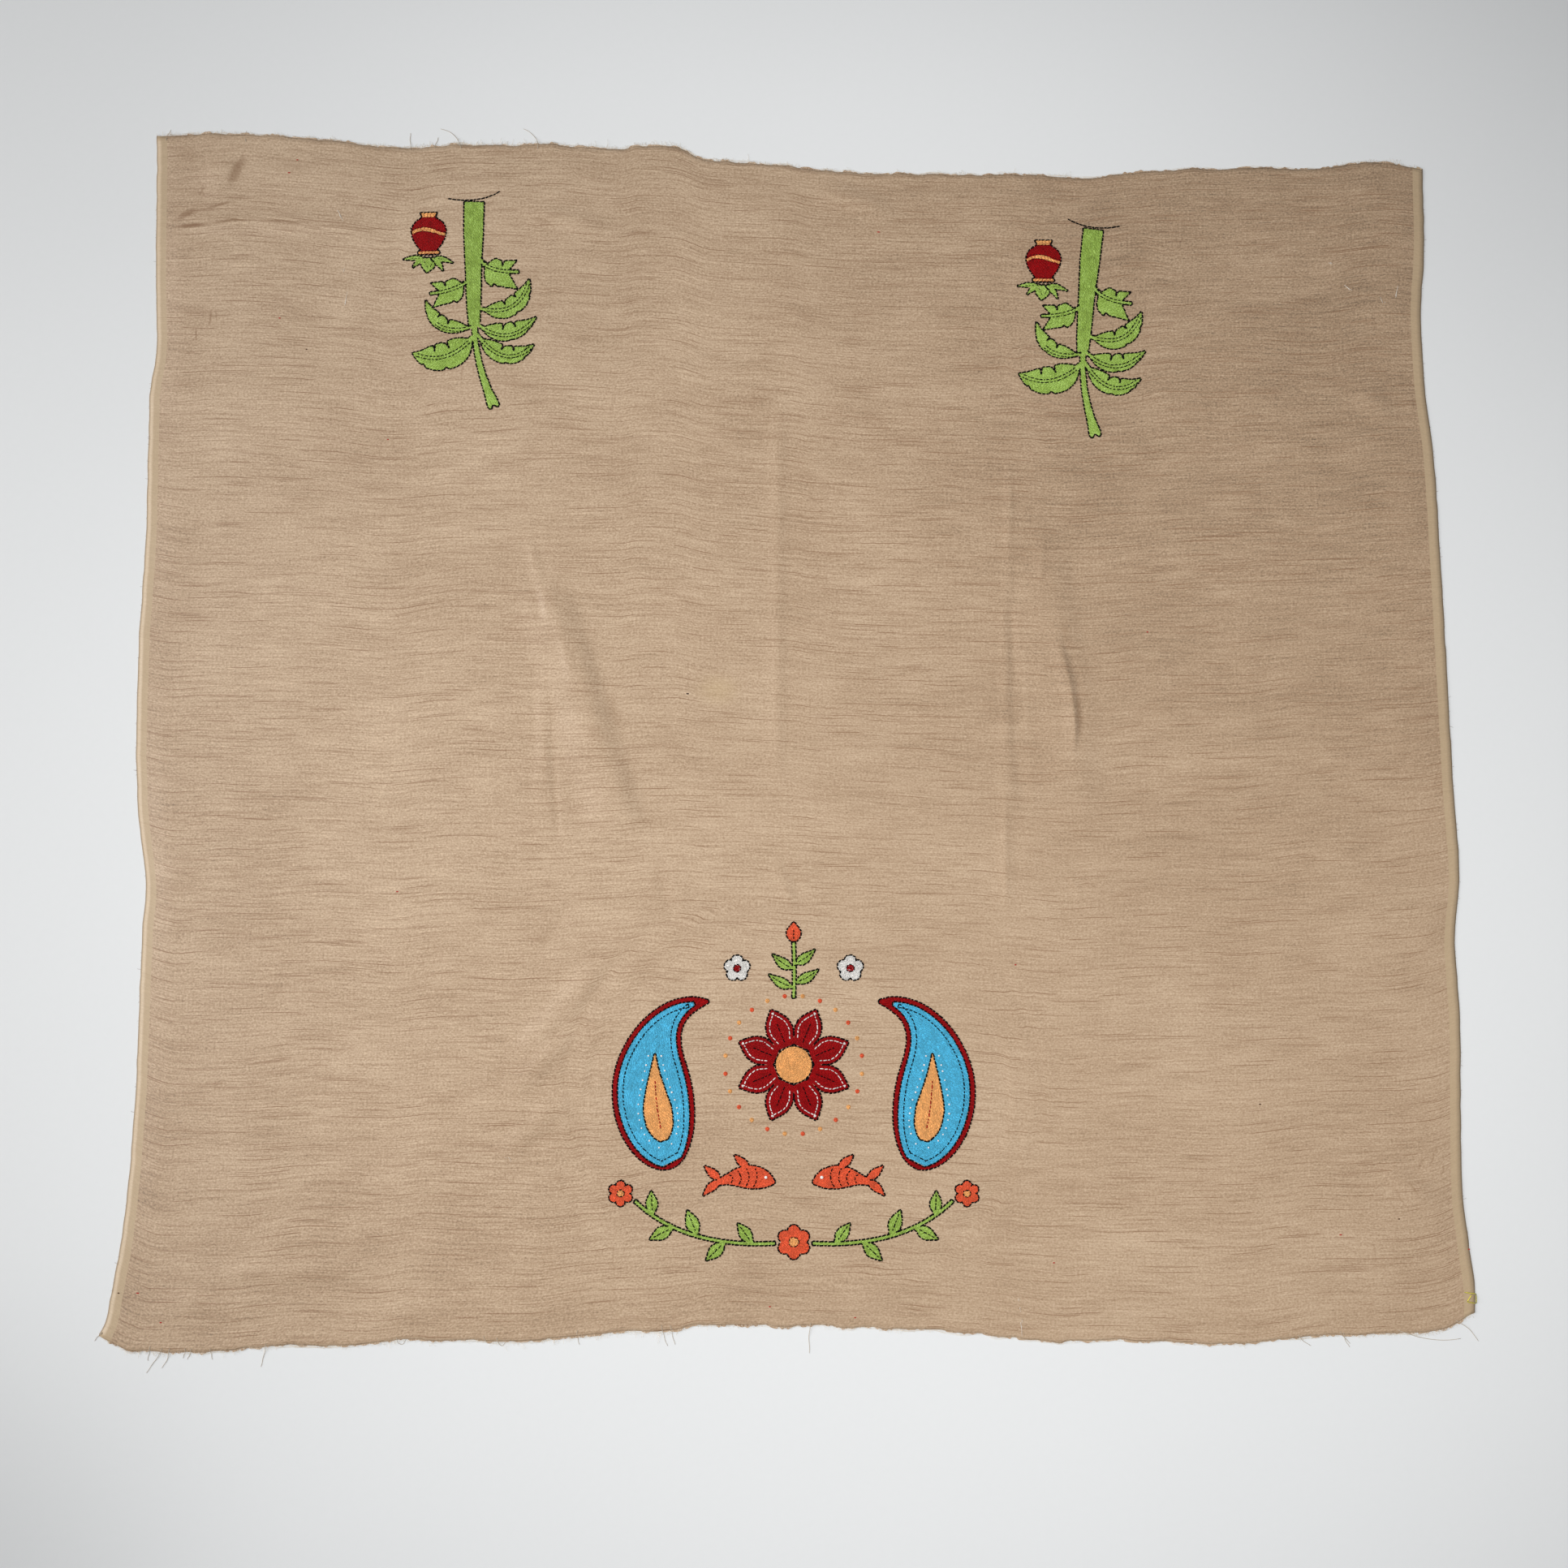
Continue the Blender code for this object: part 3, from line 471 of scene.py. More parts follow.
# Pale threads pulled up out of the weave: two ends
PULLED_THREADS = [
    ((-393, 398), (-388, 409)), ((-389, 370), (-386, 384)), ((-397, 457), (-391, 446)),
    ((474, 411), (479, 406)), ((489, 389), (494, 384)), ((519, 378), (523, 373)),
    ((535, 388), (533, 376)), ((193, -483), (194, -498)), ((194, -499), (195, -516)),
    ((-236, -367), (-232, -371)),
]
# Longer barbs on the selvages: side, y
BARBS = [
    (1, 204), (1, 146), (1, 23), (1, -2), (1, -37), (1, -150), (1, 318), (1, -290), (1, 430), (1, -402),
    (-1, 300), (-1, 120), (-1, -40), (-1, -210), (-1, -330), (-1, 410), (-1, 215), (-1, -455),
]
# The frayed ends: the pitch between two, the length of the shortest, the shape and scale of the random
# length added to it, how all of it varies along the edge, how the ends lean together and each by itself,
# and how far inside the edge they start and are rooted
FRAY_PITCH = 0.85
FRAY_SHORTEST = 0.9
FRAY_LONGER = (1.6, 0.55)
FRAY_UNEVEN = [(0.5, 14, 400, 71), (0.35, 55, 400, 72)]
FRAY_LEAN = [(0.25, 5, 400, 73)]
FRAY_SCATTER = 0.32
FRAY_START = 0.8
FRAY_ROOT = 1.6
# The torn strips: their pitch, how far they reach out and how that varies, how deep a tear may be, how far
# they reach in, their thickness, how far they lie over the silk, and how far their outer side falls and how
# low it may lie
TORN_PITCH = 1.1
TORN_REACH = 0.5
TORN_UNEVEN = [(1.3, 2.4, 400, 74), (1.1, 8, 400, 75)]
TORN_DEEPEST = 0.8
TORN_INSIDE = 1.8
TORN_THICKNESS = 0.33
TORN_OVER = 0.03
TORN_FALL = 0.2
TORN_LOWEST = 0.4
# The barbs' lengths, how many short ones there are on each selvage, and between which y
LONG_BARB = (2.0, 3.6)
SHORT_BARB = (0.4, 1.3)
SHORT_BARBS = 70
BARB_SPAN = (-480, 480)
# How many loose wefts there are on each cut edge, and their lengths
LOOSE_WEFTS = 130
WEFT_LENGTHS = (5, 26)
# Radii of strands
FRAY_RADIUS = 0.16
WEFT_RADIUS = 0.12
LOOSE_RADIUS = 0.27
BARB_RADIUS = 0.13
PULLED_RADIUS = 0.26
# How much longer the frayed ends are in places: from x, to x, times
TOP_CLUMPS = [(-558, -470, 1.6), (-360, -90, 1.3), (250, 480, 0.6)]
BOTTOM_CLUMPS = [(-573, -470, 1.3), (-340, -90, 1.4), (120, 420, 0.6)]


def smooth_between(table, at):
    """Read a two-column table at many values, by a curve that never bulges past its rows."""
    marks, heights = np.array(table, float).T
    slopes = np.diff(heights) / np.diff(marks)
    before, after = slopes[:-1], slopes[1:]
    level = before * after <= 0
    inner = np.where(level, 0.0, 2 * before * after / np.where(level, 1.0, before + after))
    tangents = np.concatenate([slopes[:1], inner, slopes[-1:]])
    at = np.clip(at, marks[0], marks[-1])
    i = np.clip(np.searchsorted(marks, at, side="right") - 1, 0, len(slopes) - 1)
    span = marks[i + 1] - marks[i]
    u = (at - marks[i]) / span
    start = (1 + 2 * u) * (1 - u) ** 2 * heights[i] + u * (1 - u) ** 2 * span * tangents[i]
    end = u * u * (3 - 2 * u) * heights[i + 1] + u * u * (u - 1) * span * tangents[i + 1]
    return start + end


def eased(value, low, high):
    """0 below low, 1 above high, and a soft step between."""
    u = np.clip((value - low) / (high - low), 0, 1)
    return u * u * (3 - 2 * u)


def soft_noise(x, y, size_x, size_y, seed):
    """Smooth random values from -1 to 1 over the sheet, each lump about size_x by size_y."""
    lattice = np.random.default_rng(seed).uniform(-1, 1, (LATTICE, LATTICE))
    gx, gy = x / size_x + 97, y / size_y + 89
    ix, iy = np.floor(gx).astype(int), np.floor(gy).astype(int)
    fx, fy = eased(gx - ix, 0, 1), eased(gy - iy, 0, 1)
    corners = [lattice[(iy + b) % LATTICE, (ix + a) % LATTICE] for b in (0, 1) for a in (0, 1)]
    low = corners[0] + (corners[1] - corners[0]) * fx
    high = corners[2] + (corners[3] - corners[2]) * fx
    return low + (high - low) * fy


def straying(table, x, y):
    """The sum of a table's soft noises: how far the silk strays at many points, in millimetres."""
    return sum(amount * soft_noise(x, y, across, up, seed) for amount, across, up, seed in table)


def bezier(path, at):
    """Points of the curve that the path's points control, at many shares of it."""
    points = [np.array(p, float)[None, :] * np.ones((len(at), 1)) for p in path]
    while len(points) > 1:
        points = [a + (b - a) * at[:, None] for a, b in zip(points, points[1:])]
    return points[0]


def spine(path, at):
    """Points of a curve, and the unit normals on its left."""
    ahead = bezier(path, np.minimum(at + 0.01, 1)) - bezier(path, np.maximum(at - 0.01, 0))
    normals = np.stack([-ahead[:, 1], ahead[:, 0]], axis=1)
    return bezier(path, at), normals / np.linalg.norm(normals, axis=1, keepdims=True)


# Shaping the silk


def edge_points(table, share, cut_edge):
    """Points on one edge of the sheet, share being how far along it, 0 to 1."""
    along = table[0][0] + share * (table[-1][0] - table[0][0])
    across = smooth_between(table, along)
    return np.stack([along, across] if cut_edge else [across, along], axis=-1)


def sheet_plan(s, t):
    """Where the points s of the width and t of the length lie, blended between the four edges."""
    bottom, top = (edge_points(table, s, True) for table in (BOTTOM_EDGE, TOP_EDGE))
    left, right = (edge_points(table, t, False) for table in (LEFT_EDGE, RIGHT_EDGE))
    s, t = s[..., None], t[..., None]
    ends = [np.array(table[end], float) for table in (BOTTOM_EDGE, TOP_EDGE) for end in (0, -1)]
    corners = (1 - t) * ((1 - s) * ends[0] + s * ends[1]) + t * ((1 - s) * ends[2] + s * ends[3])
    return (1 - t) * bottom + t * top + (1 - s) * left + s * right - corners


def fold_heights(fold, x, y, profile):
    """How far one fold lifts many points, in millimetres."""
    crest = bezier(fold.path, np.linspace(0, 1, 13))
    nearest = np.full(x.shape, np.inf)
    height = np.zeros(x.shape)
    lengths = np.linalg.norm(np.diff(crest, axis=0), axis=1)
    whole = lengths.sum()
    travelled = 0.0
    for a, b, long in zip(crest, crest[1:], lengths):
        run = (b - a) / long
        along = np.clip((x - a[0]) * run[0] + (y - a[1]) * run[1], 0, long)
        off_x, off_y = x - a[0] - along * run[0], y - a[1] - along * run[1]
        distance = np.hypot(off_x, off_y)
        reach = np.where(run[0] * off_y - run[1] * off_x > 0, fold.left, fold.right)
        end = np.minimum(travelled + along, whole - travelled - along)
        lifted = fold.rise * eased(end, 0, fold.fade) * profile(np.clip(distance / reach, 0, 1))
        height = np.where(distance < nearest, lifted, height)
        nearest = np.minimum(distance, nearest)
        travelled += long
    return height


def worked_distance(x, y):
    """How far each point is from the nearest worked area's middle, as a share of that area's size."""
    shares = [np.hypot((x - cx) / rx, (y - cy) / ry) for cx, cy, rx, ry in WORKED]
    return np.min(shares, axis=0)


def puckering(x, y):
    """How the silk is drawn up in arcs round each worked area, from about -1 to 1."""
    total = np.zeros(x.shape)
    for number, (cx, cy, rx, ry) in enumerate(WORKED):
        share = np.hypot((x - cx) / rx, (y - cy) / ry)
        turn = np.arctan2(y - cy, x - cx)
        near = np.exp(-((share - PUCKERS_AT) / PUCKERS_WIDE) ** 2)
        total = total + near * soft_noise(turn * 40, share * min(rx, ry), 26, 7, 31 + number)
    return total


def fold_profile(distance):
    """A fold's height at a share of its slope's reach: 1 on the crest, 0 at its foot."""
    return (1 - distance * distance) ** 2


def crease_profile(distance):
    """The same for a crease, which is sharper."""
    return (1 - distance) ** 2 * (1 + distance)


def near_edge(share, size, reach):
    """1 at the two edges of a width or length of the silk, easing to 0 within a reach in millimetres."""
    return 1 - eased(np.minimum(share, 1 - share) * size / MM, 0, reach)


def sheet_heights(x, y, s, t):
    """The height of the silk's underside at many points, in millimetres."""
    lifted = FOLD_SHARE * np.max([fold_heights(fold, x, y, fold_profile) for fold in FOLDS], axis=0)
    # no fold is even: each swells and thins along its run, and drags the weft up beside it
    height = lifted * (1 + straying(FOLD_SWELL, x, y))
    for crease in CREASES:
        height = height + fold_heights(crease, x, y, crease_profile)
    inside = 1 - np.maximum(near_edge(s, FLAT_WIDTH, RIM_REACH), near_edge(t, FLAT_LENGTH, RIM_REACH))
    ripples = straying(RIPPLES, x, y) + eased(lifted, 0.2, 3) * straying(FOLD_DRAG, x, y)
    height = height + (LOOSENESS + ripples) * (RIM_SHARE + (1 - RIM_SHARE) * inside)
    # the stitching lifts the silk and puckers it
    height = height + WORKED_LIFT * (1 - eased(worked_distance(x, y), *WORKED_EASE))
    height = height + PUCKER_HEIGHT * puckering(x, y)
    # the cut edges lift and dip
    height = height + near_edge(t, FLAT_LENGTH, CUT_LIFT_REACH) * (CUT_LIFT + straying(CUT_DIP, x, y))
    return np.maximum(height, 0.0) + RESTS_AT


def stations(zones, half):
    """Shares of the sheet, 0 to 1, at each zone's pitch."""
    found = [0.0]
    for low, high, pitch in zones:
        count = max(1, round((high - low) / pitch))
        found += [(low + (high - low) * (i + 1) / count + half) / (2 * half) for i in range(count)]
    return np.array(found)


def deselect_all():
    bpy.ops.object.select_all(action="DESELECT")


def active_object(name):
    """The piece that an operator has just added, named."""
    thing = bpy.context.view_layer.objects.active
    thing.name = name
    thing.data.name = name
    return thing


def make_silk():
    """The sheet: a grid drawn to the cut's outline, laid in its folds and given its thickness."""
    across, up = stations(STATIONS_ACROSS, HALF_WIDTH), stations(STATIONS_UP, HALF_LENGTH)
    columns, rows = len(across) - 1, len(up) - 1
    deselect_all()
    bpy.ops.mesh.primitive_grid_add(x_subdivisions=columns, y_subdivisions=rows, size=1, calc_uvs=True)
    silk = active_object("silk_sheet")
    mesh = silk.data
    places = np.zeros(len(mesh.vertices) * 3)
    mesh.vertices.foreach_get("co", places)
    places = places.reshape(-1, 3)
    s = across[np.rint((places[:, 0] + 0.5) * columns).astype(int)]
    t = up[np.rint((places[:, 1] + 0.5) * rows).astype(int)]
    plan = sheet_plan(s, t)
    # the raw edges and the selvages waver, and the weave drifts inside the sheet
    x, y = plan[:, 0], plan[:, 1]
    y = y + near_edge(t, FLAT_LENGTH, CUT_WAVER_REACH) * straying(CUT_WAVER, x, y)
    inside = eased(np.minimum(t, 1 - t), 0, 0.07) * eased(np.minimum(s, 1 - s), 0, 0.05)
    x = x + near_edge(s, FLAT_WIDTH, SELVAGE_REACH) * straying(SELVAGE_WAVER, x, y)
    y = y + inside * straying(WEFT_DRIFT, x, y)
    x = x + inside * straying(WARP_DRIFT, x, y)
    places = np.stack([x, y, sheet_heights(x, y, s, t)], axis=1) * MM
    mesh.vertices.foreach_set("co", places.ravel())
    weave = np.stack([s * FLAT_WIDTH, t * FLAT_LENGTH + WEFT_DRAWN * MM * puckering(x, y)], axis=1)
    mesh.uv_layers[0].name = "weave"
    set_uv(mesh, mesh.uv_layers[0], weave)
    mesh.update()
    bpy.ops.object.shade_smooth()
    thickness = silk.modifiers.new("thickness", "SOLIDIFY")
    thickness.thickness = SILK_THICKNESS * MM
    thickness.offset = 1.0
    bpy.ops.object.modifier_apply(modifier="thickness")
    # the cut rim is flat shaded, so that it doesn't darken the faces beside it
    normals = np.zeros(len(mesh.polygons) * 3)
    mesh.polygons.foreach_get("normal", normals)
    mesh.polygons.foreach_set("use_smooth", np.abs(normals[2::3]) > 0.5)
    return silk


def silk_heights(points):
    """Heights of the silk's upper face under many points, in millimetres; its rest past its edge."""
    down = Vector((0, 0, -1))
    found = []
    for x, y in points:
        place = SILK_TREE.ray_cast(Vector((x * MM, y * MM, 0.05)), down)[0]
        found.append((RESTS_AT + SILK_THICKNESS) if place is None else place.z / MM)
    return np.array(found)


# Materials


class Value:
    """A value made by a material's nodes. Adding to it or multiplying it makes a further node."""

    def __init__(self, finish, socket):
        self.finish = finish
        self.socket = socket

    def __add__(self, other):
        return self.finish.work_out("ADD", self, other)

    def __mul__(self, other):
        return self.finish.work_out("MULTIPLY", self, other)

    __radd__ = __add__
    __rmul__ = __mul__


class Finish:
    """A material being made: its nodes, and short ways to add to them."""

    def __init__(self, name):
        self.material = bpy.data.materials.new(name)
        self.material.use_nodes = True
        self.tree = self.material.node_tree
        self.shader = self.tree.nodes["Principled BSDF"]

    def feed(self, socket, value):
        if isinstance(value, Value):
            self.tree.links.new(value.socket, socket)
        else:
            socket.default_value = value

    def node(self, kind, inputs=(), output=0, **settings):
        """One output of a new node that has these inputs and settings."""
        made = self.tree.nodes.new("ShaderNode" + kind)
        for key, value in settings.items():
            setattr(made, key, value)
        for key, value in dict(inputs).items():
            self.feed(made.inputs[key], value)
        return Value(self, made.outputs[output])

    def work_out(self, operation, *values):
        return self.node("Math", enumerate(values), operation=operation)

    def about(self, value, amount):
        """A value of 0 to 1 turned into one from minus to plus half the amount."""
        return self.work_out("MULTIPLY_ADD", value, amount, -0.5 * amount)

    def place(self):
        return self.node("TexCoord", output="Object")

    def point(self, x, y, z=0.0):
        return self.node("CombineXYZ", {"X": x, "Y": y, "Z": z})

    def noise(self, place, scale=1.0, detail=1.0, roughness=0.5):
        inputs = {"Vector": place, "Scale": scale, "Detail": detail, "Roughness": roughness}
        return self.node("TexNoise", inputs)

    def ease(self, value, low, high, to_low=0.0, to_high=1.0):
        inputs = {"Value": value, "From Min": low, "From Max": high, "To Min": to_low, "To Max": to_high}
        return self.node("MapRange", inputs, interpolation_type="SMOOTHSTEP")

    def blend(self, share, first, second, kind="MIX"):
        return self.node("Mix", {0: share, 6: first, 7: second}, 2, data_type="RGBA", blend_type=kind)

    def uv(self, name):
        place = self.node("UVMap", uv_map=name)
        return [self.node("SeparateXYZ", {0: place}, axis) for axis in (0, 1)]

    def attribute(self, name):
        return self.node("Attribute", output="Fac", attribute_name=name)

    def relief(self, height, strength, depth, **below):
        return self.node("Bump", {"Height": height, "Strength": strength, "Distance": depth, **below})

    def set(self, **values):
        for key, value in values.items():
            self.feed(self.shader.inputs[key.replace("_", " ").title().replace("Ior", "IOR")], value)


# The silk: colours in linear light, sizes in metres
SILK_DEEP = (0.550, 0.375, 0.238, 1)
SILK_LIGHT = (0.528, 0.394, 0.272, 1)
SLUB_BROWN = (0.260, 0.132, 0.066, 1)
SILK_PALE = (0.64, 0.49, 0.335, 1)
SELVAGE_COLOUR = (0.535, 0.400, 0.252, 1)
SELVAGE_LINE = (0.12, 0.085, 0.06, 1)
# The brown of the painted shade along folds and creases and of the stains
SHADE_AND_STAIN_BROWN = (0.210, 0.097, 0.035, 1)
SPOT_COLOUR = (0.62, 0.46, 0.25, 1)
FLOOR_COLOUR = (0.80, 0.815, 0.83, 1)
SELVAGE_WIDTH = 0.0092
# How strong the painted crease shade and the stains of DARK_MARKS are
SHADE_AND_STAIN_STRENGTH = 1.5
# How far the weft rows wander: lumps to the metre across and up, metres
WANDERING = [(6.0, 12.0, 0.009), (26.0, 50.0, 0.0005)]
# Slubs, long slubs and the shine of single picks: pitch of the rows, how fast they change along, seed
SLUBS = (0.00078, 19.0, 0.0)
LONG_SLUBS = (0.0015, 13.0, 77.0)
PICKS = (0.00066, 250.0, 401.0)
# Where the weave is uneven: lumps to the metre across and up, seed, detail, roughness, how much it shows
UNEVEN = [
    (20.0, 34.0, 9.0, 3.0, 0.6, 0.30), (3.0, 46.0, 4.0, 3.0, 0.5, 0.16), (7.0, 9.0, 12.0, 2.0, 0.5, 0.26),
    (22.0, 760.0, 6.0, 1.0, 0.5, 0.60), (560.0, 700.0, 0.0, 1.0, 0.5, 1.00),
    (640.0, 26.0, 2.0, 1.0, 0.5, 0.12),
]
# Painted shade, broad: darker at the right, at the upper right, along the left selvage and at the lower
# left:
# between which shares of the width and of the length each comes in, and how much it adds
PAINTED_SHADES = [
    ((0.5, 1.05), None, -0.06), ((0.38, 0.80), (0.15, 0.75), -0.17),
    ((0.055, 0.0), None, -0.09), ((0.80, 0.50), (0.35, 0.0), -0.08),
]
# Darker silk, painted shade along folds and creases and also stains: x, y, half length and half width in
# millimetres, how far they are turned in degrees, and how dark
DARK_MARKS = [
    (-131, 241, 16, 5, 0, 0.10), (-71, 240, 14, 5, 0, 0.10), (74, 241, 18, 5, 0, 0.10),
    (14, 219, 16, 5, 0, 0.10), (-78, 168, 20, 6, 0, 0.10), (-231, 400, 24, 6, -8, 0.14),
    (-524, 442.5, 22, 2.8, 4, 0.56), (-490, 446, 26, 1.9, 5, 0.44), (-442, 445.5, 36, 1.7, -4, 0.34),
    (-380, 440.5, 50, 1.5, -3, 0.28), (-493, 448.3, 25, 1.4, -5, 0.26), (-530, 452.5, 15, 5, 25, 0.40),
    (-503, 461, 24, 1.9, 15, 0.34), (-486, 494, 20, 7, 66, 0.38), (-517, 476, 9, 2.2, 60, 0.20),
    (-436, 497.5, 22, 11, -8, 0.13), (-532, 508, 18, 10, 0, 0.14), (-506, 359, 10, 1.8, 84, 0.34),
    (-501, 361, 8, 1.4, 96, 0.26), (-517, 343, 9, 1.5, 90, 0.34), (-150, 12, 26, 9, 108, 0.10),
    (-110, -128, 22, 10, 100, 0.06), (250, 8, 26, 3.6, 93, 0.20), (240, 78, 16, 6, 106, 0.10),
    (-262.5, 418, 8, 6, 100, 0.20), (-216.5, 447, 14, 3.5, -12, 0.20), (-284.5, 309, 12, 1.4, 88, 0.20),
    (-274, 312, 9, 1.2, 92, 0.13), (541, -366, 12, 1.4, 70, 0.20), (531, -373, 12, 1.4, 62, 0.17),
    (524, -394, 13, 1.4, -55, 0.17), (512, -400, 10, 1.4, -62, 0.13), (490, -444, 11, 1.4, -75, 0.15),
    (549, -378, 9, 1.2, 76, 0.15),
]
# A pale yellowish spot, and painted highlights along pressed ridges: the same columns
PALE_SPOT = (-60, 30, 26, 18, 0, 0.3)
RIDGE_HIGHLIGHTS = [
    (192.5, 183, 36, 2.8, 90, 0.09), (218.5, 140, 22, 3.4, 84, 0.10), (204, 28, 70, 3.4, 91, 0.07),
    (185, -85, 40, 2.2, 92, 0.06),
]
# Painted light on the floor past the cloth's upper edge and painted shade at its lower left: the same
# columns
FLOOR_LIGHT_AND_SHADE = [(20, 620, 850, 300, 0, 0.11), (-740, -740, 340, 340, 0, -0.14)]


def stretched(finish, u, v, across, up, seed=0.0, detail=2.0, roughness=0.5):
    """Noise with so many lumps to the metre across and up the silk."""
    return finish.noise(finish.point(u * across, v * up, seed), 1.0, detail, roughness)


def weft_rows(finish, u, v, pitch, stretch, seed):
    """Noise drawn out along each weft row by itself, and how near a place is to its row's middle."""
    place = finish.work_out("DIVIDE", v, pitch)
    row = finish.work_out("FLOOR", place) + seed
    jump = finish.node("TexWhiteNoise", {"W": row}, "Value", noise_dimensions="1D")
    along = finish.work_out("MULTIPLY_ADD", jump, 61.0, u * stretch)
    drawn = finish.noise(finish.point(along, row * 2.7), 1.0, 2.0, 0.55)
    return drawn, finish.work_out("PINGPONG", place, 0.5) * 2.0


def mark(finish, place, x, y, half_length, half_width, turn, strength):
    """The strength in the middle of a soft long mark and 0 outside it."""
    inputs = {"Vector": place, "Location": (x * MM, y * MM, 0), "Rotation": (0, 0, math.radians(turn))}
    inputs["Scale"] = (half_length * MM, half_width * MM, 1)
    own = finish.node("Mapping", inputs, vector_type="TEXTURE")
    size = finish.node("VectorMath", {0: own}, "Value", operation="LENGTH")
    return finish.ease(size, 1.0, 0.1) * strength


def marked(finish, place, table, value):
    """A value with every mark of a table added to it."""
    for row in table:
        value = value + mark(finish, place, *row)
    return value


def swayed(finish):
    """The place on the sheet, swayed a little by a noise, so that no mark has an even outline."""
    place = finish.place()
    sway = finish.node("TexNoise", {"Vector": place, "Scale": 60.0, "Detail": 3.0}, "Color")
    for operation, by in (("SUBTRACT", (0.5, 0.5, 0.5)), ("MULTIPLY", (0.004, 0.004, 0.0)), ("ADD", place)):
        sway = finish.node("VectorMath", {0: sway, 1: by}, operation=operation)
    return sway


def silk_finish():
    finish = Finish("slub_silk")
    place = swayed(finish)
    u, v = finish.uv("weave")
    for across, up, amount in WANDERING:
        v = v + finish.about(stretched(finish, u, v, across, up), amount)
    slub, slub_middle = weft_rows(finish, u, v, *SLUBS)
    long, long_middle = weft_rows(finish, u, v, *LONG_SLUBS)
    pick, _ = weft_rows(finish, u, v, *PICKS)
    # slubs come in patches, and the weave is calmer towards the lower right
    patches = finish.ease(stretched(finish, u, v, 5.0, 14.0, 7.0), 0.3, 0.6, 0.35, 1.0)
    wide, long_way = finish.work_out("DIVIDE", u, FLAT_WIDTH), finish.work_out("DIVIDE", v, FLAT_LENGTH)
    steady = finish.ease(wide, 0.25, 0.60) * finish.ease(long_way, 0.85, 0.40) * -0.20 + 1.0
    dark = finish.ease(slub, 0.52, 0.64) * finish.ease(slub_middle, 0.2, 0.8) * patches * steady * steady
    heavy = finish.ease(long, 0.57, 0.66) * finish.ease(long_middle, 0.45, 0.85)
    pale = finish.ease(slub, 0.42, 0.28)
    # how light each place is: 1 and what the uneven weave adds, then the painted shades and the painted
    # ridge highlights
    light = finish.about(pick, 0.60)
    for across, up, seed, detail, roughness, amount in UNEVEN:
        lumps = stretched(finish, u, v, across, up, seed, detail, roughness)
        light = light + finish.about(lumps, amount)
    light = light * steady + 1.0
    for across, up, amount in PAINTED_SHADES:
        shade = finish.ease(wide, *across, 0.0, amount)
        light = light + (shade * finish.ease(long_way, *up) if up else shade)
    # painted highlights along pressed ridges
    light = marked(finish, place, RIDGE_HIGHLIGHTS, light)
    # the darker, the redder: the browner colour follows both the weave's darker tone and the painted shade
    colour = finish.blend(finish.ease(light, 0.70, 1.25), SILK_DEEP, SILK_LIGHT)
    colour = finish.blend(1.0, colour, light, "MULTIPLY")
    for share, tint in (
        (mark(finish, place, *PALE_SPOT), SPOT_COLOUR),
        (pale * 0.22, SILK_PALE),
        (dark * 0.55, SLUB_BROWN),
        (heavy * 0.8, SLUB_BROWN),
        # painted shade along folds and creases, and stains
        (marked(finish, place, DARK_MARKS, 0.0) * SHADE_AND_STAIN_STRENGTH, SHADE_AND_STAIN_BROWN),
    ):
        colour = finish.blend(share, colour, tint)
    # the selvages: closer woven, paler, and a fine dark outer line: a dark thread with painted edge shadow
    from_middle_line = finish.work_out("ABSOLUTE", u + -0.5 * FLAT_WIDTH)
    side = finish.work_out("SUBTRACT", 0.5 * FLAT_WIDTH, from_middle_line)
    selvage = finish.ease(side, SELVAGE_WIDTH + 0.0003, SELVAGE_WIDTH - 0.0003)
    woven = finish.blend(1.0, SELVAGE_COLOUR, finish.about(pick, 0.22) + 1.0, "MULTIPLY")
    colour = finish.blend(selvage * 0.85, colour, woven)
    colour = finish.blend(finish.ease(side, 0.0014, 0.0006) * 0.45, colour, SELVAGE_LINE)
    normal = finish.relief(dark * 0.6 + heavy * 0.9 + pick * 0.6, 0.35, 0.00016)
    crinkle = stretched(finish, u, v, 22.0, 110.0, 5.0, 3.0, 0.55)
    normal = finish.relief(crinkle, 0.30, 0.0008, Normal=normal)
    finish.set(base_color=colour, normal=normal, roughness=0.5, specular_ior_level=0.95)
    finish.set(sheen_weight=0.05, sheen_roughness=0.45, sheen_tint=(1.0, 0.92, 0.82, 1))
    return finish.material


def thread_finish(name, colour):
    """A twisted thread: each stitch has its own tone, with painted shade where it dives into the cloth and
    painted light and shade along its twist.
    """
    finish = Finish(name)
    along, around = finish.uv("thread")
    tone = finish.attribute("tone")
    ends = finish.work_out("ABSOLUTE", finish.attribute("along") * 2.0 + -1.0)
    twist = finish.work_out("SINE", along * 9.5 + around * 12.6)
    # painted shade at the stitch's ends, where it dives into the cloth, and painted light and shade along
    # its twist
    bright = (tone * 0.70 + 0.65) * finish.ease(ends, 0.6, 1.0, 1.0, 0.72) * (twist * 0.07 + 1.0)
    shown = finish.blend(1.0, (*colour, 1), bright, "MULTIPLY")
    # painted sheen: the lighter green stitches are blended towards a paler green
    if name == "green_thread":
        shown = finish.blend(finish.ease(tone, 0.35, 1.0, 0.0, 0.20), shown, GREEN_PAINTED_SHEEN)
    gloss = THREAD_GLOSS.get(name, THREAD_SHINE)
    finish.set(base_color=shown, normal=finish.relief(twist, 0.6, 0.00006), roughness=0.5)
    finish.set(specular_ior_level=gloss, sheen_weight=0.15 * gloss, sheen_roughness=0.4)
    return finish.material


